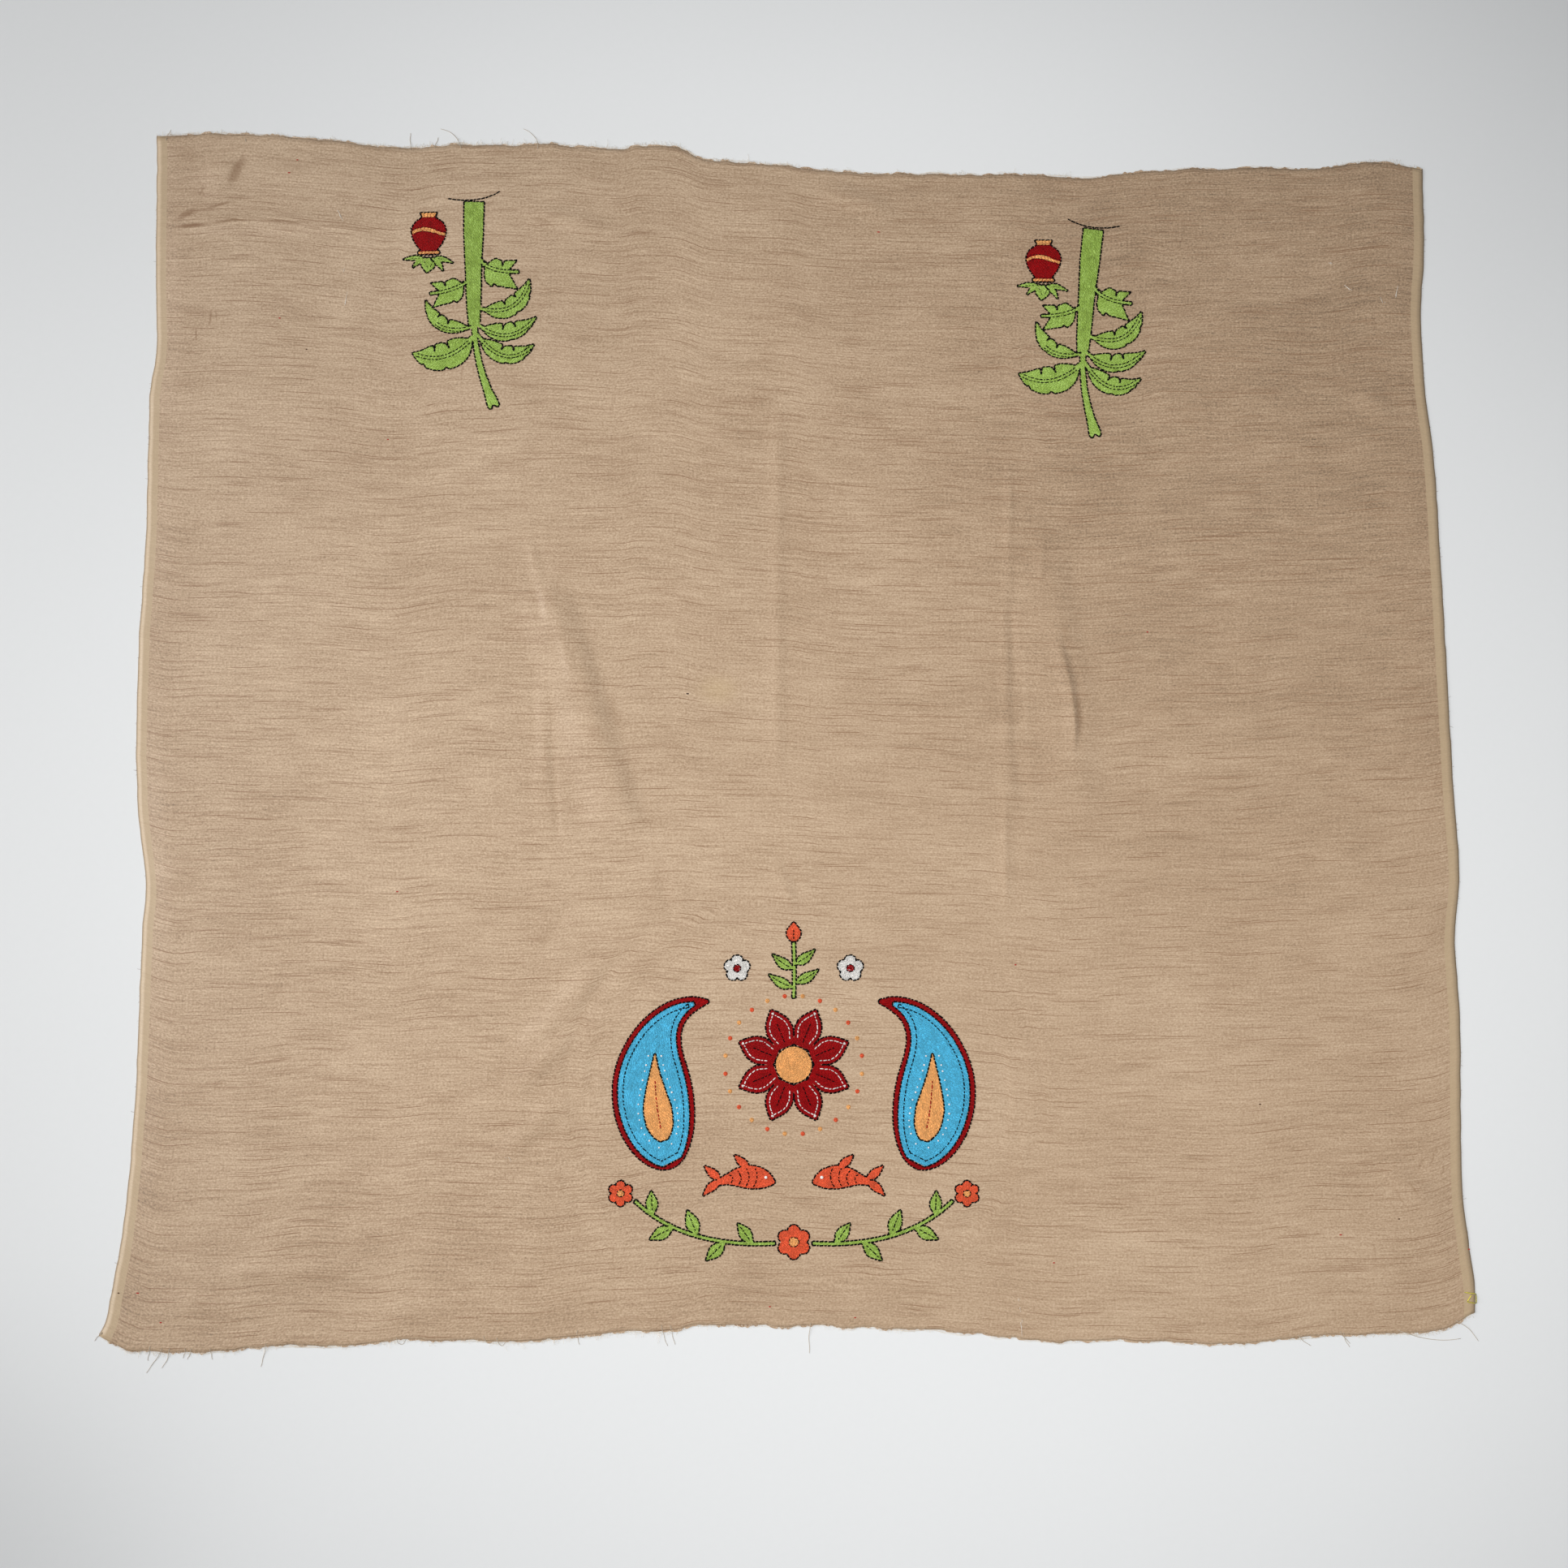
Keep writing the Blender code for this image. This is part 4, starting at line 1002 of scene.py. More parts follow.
def fibre_finish(name, colour):
    """Loose silk or fibre: soft, a little uneven along its length."""
    finish = Finish(name)
    uneven = finish.noise(finish.place(), 320.0, 2.0)
    shown = finish.blend(1.0, (*colour, 1), finish.about(uneven, 0.35) + 1.0, "MULTIPLY")
    finish.set(base_color=shown, roughness=0.6, specular_ior_level=0.35)
    finish.set(normal=finish.relief(uneven, 0.3, 0.0002), sheen_weight=0.2)
    return finish.material


def floor_finish():
    finish = Finish("pale_floor")
    place = finish.place()
    specked = finish.noise(place, 160.0, 2.0, 0.6)
    light = finish.about(finish.noise(place, 2.2, 4.0, 0.55), 0.035) + 1.0 + finish.about(specked, 0.02)
    # painted light past the cloth's upper edge and painted shade at the lower left
    light = marked(finish, place, FLOOR_LIGHT_AND_SHADE, light)
    finish.set(base_color=finish.blend(1.0, FLOOR_COLOUR, light, "MULTIPLY"), roughness=0.7)
    finish.set(normal=finish.relief(specked, 0.12, 0.0005), specular_ior_level=0.3)
    return finish.material


# Making thread


def add_mesh(name, points, faces, material):
    """A new piece from points in millimetres and lists of faces, each list for one number of corners."""
    mesh = bpy.data.meshes.new(name)
    mesh.vertices.add(len(points))
    mesh.vertices.foreach_set("co", (points * MM).ravel())
    faces = [group for group in faces if len(group)]
    loops = np.concatenate([group.ravel() for group in faces]).astype(np.int32)
    sizes = np.concatenate([np.full(len(group), group.shape[1]) for group in faces])
    mesh.loops.add(len(loops))
    mesh.loops.foreach_set("vertex_index", loops)
    mesh.polygons.add(len(sizes))
    mesh.polygons.foreach_set("loop_start", np.concatenate([[0], np.cumsum(sizes)[:-1]]).astype(np.int32))
    mesh.update(calc_edges=True)
    mesh.validate()
    mesh.shade_smooth()
    mesh.materials.append(material)
    piece = bpy.data.objects.new(name, mesh)
    bpy.context.collection.objects.link(piece)
    return piece


def set_uv(mesh, layer, places):
    """Give every corner of a mesh the texture place of its point."""
    corners = np.zeros(len(mesh.loops), int)
    mesh.loops.foreach_get("vertex_index", corners)
    layer.data.foreach_set("uv", places[corners].ravel())


def set_thread_values(mesh, along, tone, thread):
    """Give every point its place along its stitch, its tone and its place on the thread."""
    for key, value in (("along", along), ("tone", tone)):
        mesh.attributes.new(key, "FLOAT", "POINT").data.foreach_set("value", value)
    set_uv(mesh, mesh.uv_layers.new(name="thread"), thread)


def form_arrays(thing):
    """A modelled form's points and its three- and four-cornered faces; the form itself is then removed."""
    mesh = thing.data
    points = np.array([v.co[:] for v in mesh.vertices])
    faces = [np.array([p.vertices[:] for p in mesh.polygons if len(p.vertices) == k]) for k in (3, 4)]
    bpy.data.objects.remove(thing, do_unlink=True)
    bpy.data.meshes.remove(mesh)
    return points, faces


def stitch_form():
    """One stitch, modelled once, 0 to 1 along X: it rises out of the cloth, lies flat and dives back."""
    deselect_all()
    bpy.ops.mesh.primitive_cylinder_add(
        vertices=3, radius=0.5, depth=1, location=(0.5, 0, 0), rotation=(0, math.pi / 2, 0)
    )
    thing = active_object("stitch_form")
    bpy.ops.object.transform_apply(location=True, rotation=True, scale=True)
    bpy.ops.object.mode_set(mode="EDIT")
    for share in (0.2, 0.8):
        bpy.ops.mesh.select_all(action="SELECT")
        bpy.ops.mesh.bisect(plane_co=(share, 0, 0), plane_no=(1, 0, 0))
    bpy.ops.object.mode_set(mode="OBJECT")
    points, faces = form_arrays(thing)
    # ridge upwards, on a base of unit width at height 0
    share, ridge, across = points.T.copy()
    end = (share < 0.01) | (share > 0.99)
    up = (ridge + 0.25) / 0.75
    wide, high = np.where(end, 0.6, 1.15), np.where(end, up * 0.4 - 0.25, up)
    points = np.column_stack([share, -across * wide, high])
    return points, faces


def knot_form():
    """One small knot or nub, modelled once: a low round lump of unit width."""
    deselect_all()
    bpy.ops.mesh.primitive_uv_sphere_add(segments=10, ring_count=6, radius=0.5)
    thing = active_object("knot_form")
    bpy.ops.object.mode_set(mode="EDIT")
    bpy.ops.mesh.select_all(action="SELECT")
    bpy.ops.transform.resize(value=(1, 1, 0.62))
    bpy.ops.object.mode_set(mode="OBJECT")
    return form_arrays(thing)


def arrayed(faces, count, corners):
    """A form's faces for so many copies of it, each with so many corners."""
    shift = (np.arange(count) * corners)[:, None, None]
    return [(group[None, :, :] + shift).reshape(-1, group.shape[1]) for group in faces]


def split_at_corners(line, is_ring):
    """A line cut where it turns sharply, so that a stitch ends there."""
    if is_ring:
        line = np.concatenate([line, line[:1]])
    ahead = np.diff(line, axis=0)
    keep = np.linalg.norm(ahead, axis=1) > 1e-6
    line = np.concatenate([line[:1], line[1:][keep]])
    ahead = np.diff(line, axis=0)
    turn = np.arctan2(ahead[:, 1], ahead[:, 0])
    bend = np.abs((np.diff(turn) + np.pi) % (2 * np.pi) - np.pi)
    cuts = [0, *(np.flatnonzero(bend > math.radians(SHARP_CORNER)) + 1), len(line) - 1]
    return [line[a:b + 1] for a, b in zip(cuts, cuts[1:]) if b > a]


def lay_stitches(lines, work, even=False):
    """Stitches one after another along each line, as rows of: x, y of one end, then of the other."""
    found = []
    for line in lines:
        along = np.concatenate([[0], np.cumsum(np.linalg.norm(np.diff(line, axis=0), axis=1))])
        whole = along[-1]
        if whole < SHORTEST_LINE:
            continue
        if even:
            count = max(1, round((whole + work.gap) / (work.length + work.gap)))
            step = (whole + work.gap) / count
            marks = np.arange(count + 1) * step
            marks[1:-1] += step * dice.uniform(-work.spread, work.spread, count - 1)
            starts = marks[:-1]
            ends = marks[1:] - work.gap * dice.uniform(0.6, 1.3, count)
        else:
            count = int(whole / (work.length + work.gap)) + 3
            longs = work.length * dice.uniform(1 - work.spread, 1 + work.spread, count)
            gaps = work.gap * dice.uniform(0.5, 1.5, count)
            ends = np.cumsum(longs + gaps) - dice.uniform(0, work.length) - gaps
            starts = ends - longs
        starts, ends = np.clip(starts, 0, whole), np.clip(ends, 0, whole)
        good = ends - starts > SHORTEST_STITCH
        marks = np.stack([starts[good], ends[good]], axis=1)
        x, y = (np.interp(marks, along, line[:, axis]) for axis in (0, 1))
        found.append(np.stack([x, y], axis=2).reshape(-1, 4))
    return np.concatenate(found) if found else np.zeros((0, 4))


def within(points, outline):
    """Which points lie inside a closed outline."""
    x, y = points[:, :1], points[:, 1:]
    ax, ay = outline[:, 0], outline[:, 1]
    bx, by = np.roll(ax, -1), np.roll(ay, -1)
    crosses = (ay > y) != (by > y)
    at = ax + (y - ay) / np.where(by == ay, 1e-9, by - ay) * (bx - ax)
    return (crosses & (x < at)).sum(axis=1) % 2 == 1


def kept_clear(stitches, outlines):
    """The stitches whose middles lie in none of the outlines."""
    middles = (stitches[:, :2] + stitches[:, 2:]) / 2
    clear = np.ones(len(stitches), bool)
    for outline in outlines:
        clear &= ~within(middles, outline)
    return stitches[clear]


def placed(points, place):
    """Points turned and moved to their place on the sheet."""
    x, y, turn = place
    c, s = math.cos(math.radians(turn)), math.sin(math.radians(turn))
    across, up = points.T
    return np.stack([x + c * across - s * up, y + s * across + c * up], axis=1)


def placed_stitches(stitches, place):
    return np.concatenate([placed(stitches[:, :2], place), placed(stitches[:, 2:], place)], axis=1)


def counter_clockwise(outline):
    ahead = np.roll(outline, -1, axis=0)
    area = (outline[:, 0] * ahead[:, 1] - ahead[:, 0] * outline[:, 1]).sum()
    return outline if area > 0 else outline[::-1]


def stitched_points(stitches, work):
    """Every stitch's points and faces, and its points' places along it, tones and places on the thread."""
    form, faces = STITCH
    count = len(stitches)
    start, end = stitches[:, :2], stitches[:, 2:]
    run = end - start
    long = np.linalg.norm(run, axis=1)
    turn = 0.5 * dice.normal(work.slant, SLANT_SPREAD, count)
    side = np.stack([-run[:, 1], run[:, 0]], axis=1) / long[:, None]
    nudge = side * dice.normal(0, OFF_LINE, count)[:, None]
    start, end = start + nudge - side * (turn * long)[:, None], end + nudge + side * (turn * long)[:, None]
    low, middle, high = (silk_heights(p) for p in (start, (start + end) / 2, end))
    share, across, up = form.T
    width = work.width * dice.uniform(*WIDTHS, count)
    height = work.height * dice.uniform(*HEIGHTS, count)
    plan = start[:, None, :] + (end - start)[:, None, :] * share[None, :, None]
    plan = plan + side[:, None, :] * (across[None, :] * width[:, None])[:, :, None]
    ground = low[:, None] + (high - low)[:, None] * share[None, :]
    ground = ground + (middle - (low + high) / 2)[:, None] * (4 * share * (1 - share))[None, :]
    rise = ground + work.lift + up[None, :] * height[:, None]
    points = np.concatenate([plan, rise[:, :, None]], axis=2).reshape(-1, 3)
    every = arrayed(faces, count, len(form))
    x, y = start.T
    tone = work.tone + TONE_SPREAD * dice.normal(0, 1, count) + straying(TONE_PATCHES, x, y)
    thread = np.stack([(share[None, :] * long[:, None]).ravel(), np.tile(across + up, count)], axis=1)
    return points, every, (np.tile(share, count), np.repeat(np.clip(tone, 0, 1), len(form)), thread)


def underlay_points(outlines, holes):
    """The ground of a filled shape: its outlines fused, less its holes, as a thin closed slab."""
    corners, faces = [], []
    for outline in (*outlines, *holes):
        first = len(corners)
        corners += [Vector(p) for p in counter_clockwise(outline)]
        faces.append(list(range(first, len(corners))))
    for outline in outlines:
        low, high = outline.min(axis=0), outline.max(axis=0)
        grid = np.meshgrid(*(np.arange(low[axis], high[axis], UNDERLAY_PITCH) for axis in (0, 1)))
        inside = np.column_stack([grid[0].ravel(), grid[1].ravel()])
        corners += [Vector(p) for p in inside[within(inside, outline)]]
    flat = geometry.delaunay_2d_cdt(corners, [], faces, 0, 1e-5)
    hollow = set(range(len(outlines), len(faces)))
    kept = [face for face, found in zip(flat[2], flat[5]) if found and not hollow.intersection(found)]
    used, numbers = np.unique(np.array(kept), return_inverse=True)
    triangles = numbers.reshape(-1, 3)
    plan = np.array([flat[0][i][:] for i in used])
    heights = silk_heights(plan)
    top = np.column_stack([plan, heights + UNDERLAY_TOP])
    base = np.column_stack([plan, heights - UNDERLAY_SUNK])
    ab = np.concatenate([triangles[:, [0, 1]], triangles[:, [1, 2]], triangles[:, [2, 0]]])
    ways = {tuple(edge) for edge in ab.tolist()}
    rim = np.array([edge for edge in ab.tolist() if (edge[1], edge[0]) not in ways])
    count = len(plan)
    walls = np.stack([rim[:, 1], rim[:, 0], rim[:, 0] + count, rim[:, 1] + count], axis=1)
    return np.concatenate([top, base]), [np.concatenate([triangles, triangles[:, ::-1] + count]), walls]


def finish_piece(piece, replaced=()):
    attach(piece, BODY)
    if replaced:
        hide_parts(*replaced)
    return piece


def sew(name, thread, batches, ground=None, replaced=()):
    """A piece of needlework: batches of stitches, each with its work, on a ground if it is filled."""
    points, quads, triangles = [], [], []
    values = [], [], []
    count = 0
    if ground is not None:
        slab, faces = ground
        middle, tone = np.full(len(slab), 0.5), np.full(len(slab), GROUND_TONE)
        batches = [(slab, faces, (middle, tone, slab[:, :2])), *batches]
    for batch in batches:
        if not len(batch[0]):
            continue
        more, every, found = batch if len(batch) == 3 else stitched_points(*batch)
        points.append(more)
        triangles.append(every[0] + count)
        quads.append(every[1] + count)
        count += len(more)
        for list_of, value in zip(values, found):
            list_of.append(value)
    faces = [np.concatenate(group) for group in (triangles, quads) if group]
    piece = add_mesh(name, np.concatenate(points), faces, MATERIALS[thread])
    set_thread_values(piece.data, *(np.concatenate(found) for found in values))
    return finish_piece(piece, replaced)


# Shapes that are stitched. A shape is its outline and the lines that its filling follows.
Shape = namedtuple("Shape", "outline lines")


def runs_of(mask):
    """Lists of the neighbouring places where a mask holds."""
    found = np.flatnonzero(mask)
    return [run for run in np.split(found, np.flatnonzero(np.diff(found) > 1) + 1) if len(run) > 2]


def half_widths(rows, at, scale, rounded):
    tables = [[(row[0], row[side]) for row in rows] for side in (1, 2)]
    if rounded:
        return [scale * smooth_between(table, at) for table in tables]
    return [scale * np.interp(at, *np.array(table, float).T) for table in tables]


def both_sides(path, at, left, right):
    """The closed outline round a curve, from its half widths at many shares of it."""
    points, normals = spine(path, at)
    return np.concatenate([points + normals * left[:, None], (points - normals * right[:, None])[::-1]])


def outline_of(path, rows, scale=1.0, rounded=False):
    """The outline of a shape along a curve, from rows of: along, half width left, half width right."""
    marks = np.array([row[0] for row in rows])
    if (np.diff(marks) > 0).all():
        at = np.union1d(marks, np.linspace(0, 1, 33 if rounded else 21))
        left, right = half_widths(rows, at, scale, rounded)
    else:
        at = marks
        left, right = (scale * np.array([row[side] for row in rows]) for side in (1, 2))
    return both_sides(path, at, left, right)


def row_lines(path, rows, scale=1.0, rounded=False, end=1.0):
    """Lines of filling side by side along a shape."""
    rows = rows[:1 + max(range(len(rows)), key=lambda i: (rows[i][0] <= end, rows[i][0]))]
    at = np.linspace(0, end, 90)
    points, normals = spine(path, at)
    left, right = half_widths(rows, at, scale, rounded)
    count = int(max(left.max(), right.max()) / ROW_PITCH) + 1
    lines = []
    for offset in np.arange(-count, count + 1) * ROW_PITCH:
        inside = (offset <= left - FILL_INSET) & (-offset <= right - FILL_INSET)
        lines += [points[run] + normals[run] * offset for run in runs_of(inside)]
    return lines


def swept(path, rows, scale=1.0, rounded=False):
    return Shape(outline_of(path, rows, scale, rounded), row_lines(path, rows, scale, rounded))


def beside(path, offset, start, end):
    """A line along a curve, some way to its left."""
    points, normals = spine(path, np.linspace(start, end, 24))
    return points + normals * offset


def drawn_in(outline, inset):
    """A closed outline drawn in by a distance, or let out if the distance is below zero."""
    outline = counter_clockwise(outline)
    gap = np.linalg.norm(np.roll(outline, -1, axis=0) - outline, axis=1)
    outline = outline[gap > 0.02]
    ahead = np.roll(outline, -1, axis=0) - outline
    ahead = ahead / np.linalg.norm(ahead, axis=1, keepdims=True)
    normal = np.stack([-ahead[:, 1], ahead[:, 0]], axis=1)
    corner = normal + np.roll(normal, 1, axis=0)
    size = np.maximum(np.linalg.norm(corner, axis=1, keepdims=True), 1e-6)
    mitre = np.minimum(2 / size, 1.8)
    return outline + corner / size * mitre * inset


def closed(line):
    return np.concatenate([line, line[:1]])


def mirrored(shape):
    flip = np.array([-1.0, 1.0])
    if isinstance(shape, Shape):
        return Shape(shape.outline * flip, [line * flip for line in shape.lines])
    return shape * flip


def hatched(outline, angle=0.0, holes=()):
    """A shape filled with straight rows at an angle in degrees, leaving its holes bare."""
    c, s = math.cos(math.radians(angle)), math.sin(math.radians(angle))
    turned = [ring @ np.array([[c, -s], [s, c]]) for ring in (outline, *holes)]
    lines = []
    for level in np.arange(turned[0][:, 1].min() + FILL_INSET, turned[0][:, 1].max(), ROW_PITCH):
        cuts = []
        for ring in turned:
            after = np.roll(ring, -1, axis=0)
            hit = (ring[:, 1] > level) != (after[:, 1] > level)
            a, b = ring[hit], after[hit]
            cuts += list(a[:, 0] + (level - a[:, 1]) / (b[:, 1] - a[:, 1]) * (b[:, 0] - a[:, 0]))
        cuts.sort()
        for low, high in zip(cuts[::2], cuts[1::2]):
            if high - low > 2 * FILL_INSET + SHORTEST_STITCH:
                ends = np.array([[low + FILL_INSET, level], [high - FILL_INSET, level]])
                lines.append(ends @ np.array([[c, s], [-s, c]]))
    return Shape(outline, lines)


def disc(centre, radius, corners=24):
    turns = np.linspace(0, 2 * np.pi, corners, endpoint=False)
    return np.array(centre) + radius * np.stack([np.cos(turns), np.sin(turns)], axis=1)


def ringed(centre, radius):
    """A disc filled with rings."""
    lines = [closed(disc(centre, size)) for size in np.arange(radius - FILL_INSET - 0.1, 0.5, -ROW_PITCH)]
    return Shape(disc(centre, radius), lines)


def fill(name, thread, place, shapes, holes=(), avoid=(), work=FILLING, replaced=None, later=None):
    """Fill shapes with stitches; where two overlap, the earlier one's stitches stay."""
    batches = []
    outlines = []
    for shape in shapes:
        own = later if later and outlines else work
        stitches = kept_clear(lay_stitches(shape.lines, own), [*outlines, *avoid])
        batches.append((placed_stitches(stitches, place), own))
        outlines.append(shape.outline)
    ground = underlay_points([placed(o, place) for o in outlines], [placed(o, place) for o in holes])
    return sew(name + "_stitches", thread, batches, ground, [name] if replaced is None else replaced)


def outline_batch(shapes, place, work=OUTLINING, let_out=0.3, avoid=()):
    """Running stitches round shapes, left out where they would cross another of them, and their work."""
    outlines = [shape.outline if isinstance(shape, Shape) else shape for shape in shapes]
    found = []
    for number, outline in enumerate(outlines):
        lines = split_at_corners(drawn_in(outline, -let_out), True)
        others = [o for k, o in enumerate(outlines) if k != number]
        found.append(kept_clear(lay_stitches(lines, work, True), [*others, *avoid]))
    return placed_stitches(np.concatenate(found), place), work


def line_batch(lines, place, work=VEINING, avoid=()):
    """Running stitches along lines, and their work."""
    return placed_stitches(kept_clear(lay_stitches(lines, work, True), avoid), place), work


def sew_outlines(name, batches, replaced=()):
    return sew(name, "black_thread", batches, None, replaced)


def on_side(side, things):
    """Shapes and lines that are drawn for the right side, mirrored for the left one."""
    return [mirrored(thing) for thing in things] if side == "left" else things


# The motifs


def plant_leaf(leaf):
    """A leaf's middle line, running out from the trunk, and the leaf."""
    path = [leaf.root, leaf.bend, leaf.tip]
    blade = TORN_BLADE if leaf.torn else WHOLE_BLADE
    rows = [(along, low * leaf.low, high * leaf.high) for along, low, high in blade]
    if leaf.side > 0:
        rows = [(along, high, low) for along, low, high in rows]
    return path, notched(path, rows, leaf.torn)


def notched(path, rows, with_midrib):
    """A shape whose last rows turn back: its filling stops at the row that reaches furthest before them."""
    marks = [row[0] for row in rows]
    turn = next((i for i in range(1, len(marks)) if marks[i] < marks[i - 1]), len(marks))
    outline = outline_of(path, rows)
    lines = row_lines(path, rows[:turn], end=marks[turn - 1])
    lines = [line[run] for line in lines for run in runs_of(within(line, outline))]
    if with_midrib:
        lines += [beside(path, offset, marks[turn - 1], 1.0) for offset in (-ROW_PITCH, 0, ROW_PITCH)]
    return Shape(outline, lines)


def make_plant(side):
    """One broad-leaved plant with its shoot, its outlines and veins, and its ground line."""
    place = PLANT_PLACES[side]
    trunk = swept(TRUNK_PATH, TRUNK_ROWS)
    leaves = [plant_leaf(leaf) for leaf in PLANT_LEAVES]
    shapes = [trunk, notched(SHOOT_PATH, SHOOT_ROWS, False), *(shape for _, shape in leaves)]
    fill("plant_" + side, "green_thread", place, shapes, later=LEAFING)
    veins = []
    for leaf, (path, _) in zip(PLANT_LEAVES, leaves):
        veins += [beside(path, offset, VEINS_START, leaf.veined) for offset in (VEIN_OFFSET, -VEIN_OFFSET)]
    batches = [outline_batch(shapes, place), line_batch(veins, place, avoid=[trunk.outline])]
    sew_outlines("plant_outline_" + side, batches)
    ground = bezier(GROUND_PATH, np.linspace(0, 1, 30))
    ground = ground if side == "left" else mirrored(ground)
    line = "ground_line_" + side
    sew_outlines(line + "_stitches", [line_batch([ground], place, LINING)], [line])


def make_pot(side):
    """One round pot with its bands, and the leaves that stand in it."""
    place = POT_PLACES[side]
    pot = outline_of([(0, 0), (0, POT_HEIGHT)], POT_ROWS, rounded=True)
    bands = []
    for path, half in POT_BANDS:
        bands.append(swept(path, even([(0.0, half * BAND_ENDS), (0.5, half), (1.0, half * BAND_ENDS)])))
    bands.append(hatched(outline_of(FOOT_PATH, FOOT_ROWS)))
    fill("pot_" + side, "red_thread", place, [hatched(pot, 90.0)], avoid=[band.outline for band in bands])
    fill("pot_bands_" + side, "yellow_thread", place, bands, work=BANDING, replaced=[])
    leaves = [swept(path, SMALL_LEAF, half, True) for path, half in POT_LEAVES]
    fill("pot_leaves_" + side, "green_thread", place, leaves, work=LEAFING)
    low, high = NECK_HEIGHTS
    corners = np.arange(-NECK_HALF, NECK_HALF + 0.1, NECK_STEP)
    zigzag = np.array([(x, high if i % 2 else low) for i, x in enumerate(corners)])
    fine = [beside(POT_BANDS[0][0], offset, 0.02, 0.98) for offset in BAND_LINES]
    fine += [np.array(line, float) for line in POT_LINES]
    sew_outlines("pot_outline_" + side, [
        outline_batch([pot], place),
        outline_batch(leaves, place),
        line_batch(split_at_corners(zigzag, False), place, EDGING),
        line_batch(fine, place, EDGING),
    ])


def petals_round(centre, count, inner, outer, rows, scale=1.0, start=0.0):
    """Petals all round a centre, each with its middle line."""
    found = []
    for k in range(count):
        turn = math.radians(start + 360 * k / count)
        out = np.array([math.sin(turn), math.cos(turn)])
        path = [np.array(centre) + out * inner, np.array(centre) + out * outer]
        found.append((path, swept(path, rows, scale, True)))
    return found


def knots(name, thread, places, size):
    """Small round knots of thread, at places in the middle design."""
    form, faces = KNOT
    centres = placed(np.array(places, float), MIDDLE)
    heights = silk_heights(centres)
    sizes = size * dice.uniform(*KNOT_SIZES, len(centres))
    points = form[None, :, :] * sizes[:, None, None]
    points = points + np.column_stack([centres, heights + KNOT_RAISED * size + KNOT_OVER])[:, None, :]
    points = points.reshape(-1, 3)
    piece = add_mesh(name, points, arrayed(faces, len(centres), len(form)), MATERIALS[thread])
    along, tone = np.full(len(points), 0.5), np.full(len(points), KNOT_TONE)
    set_thread_values(piece.data, along, tone, points[:, :2])
    return finish_piece(piece)


def make_lotus():
    """The round flower: red petals, a yellow heart, and pale lines inside each petal."""
    ring = petals_round(LOTUS_CENTRE, LOTUS_PETALS, LOTUS_INNER, LOTUS_OUTER, PETAL_ROWS, start=LOTUS_TURN)
    petals = [shape for _, shape in ring]
    fill("lotus_petals", "red_thread", MIDDLE, petals)
    heart = ringed(LOTUS_CENTRE, LOTUS_INNER - 0.6)
    fill("lotus_heart", "yellow_thread", MIDDLE, [heart])
    inner = [split_at_corners(drawn_in(shape.outline, PALE_INSET), True) for shape in petals]
    inner = [line for lines in inner for line in lines]
    pale = line_batch(inner, MIDDLE, avoid=[disc(LOTUS_CENTRE, PALE_START)])
    sew("lotus_inner_lines", "white_thread", [pale])
    return [
        outline_batch(petals, MIDDLE, avoid=[disc(LOTUS_CENTRE, LOTUS_INNER)]),
        outline_batch([heart], MIDDLE),
        line_batch([beside(path, 0.0, 0.12, 0.62) for path, _ in ring], MIDDLE),
    ]


def paisley_outline(inset, start, end):
    """The paisley's outline drawn in by inset, between two places along it."""
    marks = [start, *(along for along, _ in PAISLEY_WIDTHS if start < along < end), end]
    rows = even(zip(marks, np.interp(marks, *np.array(PAISLEY_WIDTHS, float).T) - inset))
    at = np.union1d(marks, np.linspace(start, end, 40))
    return both_sides(PAISLEY_PATH, at, *half_widths(rows, at, 1.0, True))


def make_paisleys():
    """Two paisleys leaning in, each a border, a body inside it and a heart inside that."""
    outer = paisley_outline(0.0, 0.0, 1.0)
    rings = [closed(drawn_in(outer, inset)) for inset in np.arange(0.4, PAISLEY_BORDER, ROW_PITCH)]
    heart = swept(PAISLEY_HEART_PATH, PAISLEY_HEART_ROWS, rounded=True)
    drawn = [
        Shape(outer, rings),
        paisley_outline(PAISLEY_BORDER, 0.024, 0.93),
        paisley_outline(PAISLEY_BORDER + 0.4, 0.028, 0.925),
        heart,
        drawn_in(heart.outline, -0.6),
        beside(PAISLEY_HEART_PATH, 0.0, 0.16, 0.72),
    ]
    batches = []
    for side in SIDES:
        border, hollow, body, yellow, gap, vein = on_side(side, drawn)
        fill("paisley_border_" + side, "red_thread", MIDDLE, [border], [hollow], [hollow])
        blue = hatched(body, 60.0 if side == "left" else 120.0, [gap])
        fill("paisley_" + side, "blue_thread", MIDDLE, [blue], [gap])
        fill("paisley_heart_" + side, "yellow_thread", MIDDLE, [yellow])
        echo = split_at_corners(drawn_in(body, ECHO_INSET), True)
        batches += [
            outline_batch([border], MIDDLE),
            outline_batch([hollow], MIDDLE, let_out=0.1),
            outline_batch([yellow], MIDDLE),
            line_batch(echo, MIDDLE, avoid=[drawn_in(yellow.outline, -1.5)]),
        ]
        dots = drawn_in(yellow.outline, -KNOT_RING)[::3]
        knots("paisley_seeds_" + side, "white_thread", dots[within(dots, drawn_in(body, 6.4))], 1.5)
        sew("paisley_vein_" + side, "red_thread", [line_batch([vein], MIDDLE)])
    return batches


def leafy(stem, leaves):
    """A stem with small leaves, each a path and a half width: all the shapes, and the leaves' veins."""
    shapes = [swept(stem, STEM_ROWS), *(swept(path, SMALL_LEAF, half, True) for path, half in leaves)]
    return shapes, [beside(path, 0.0, *SMALL_VEIN) for path, _ in leaves]


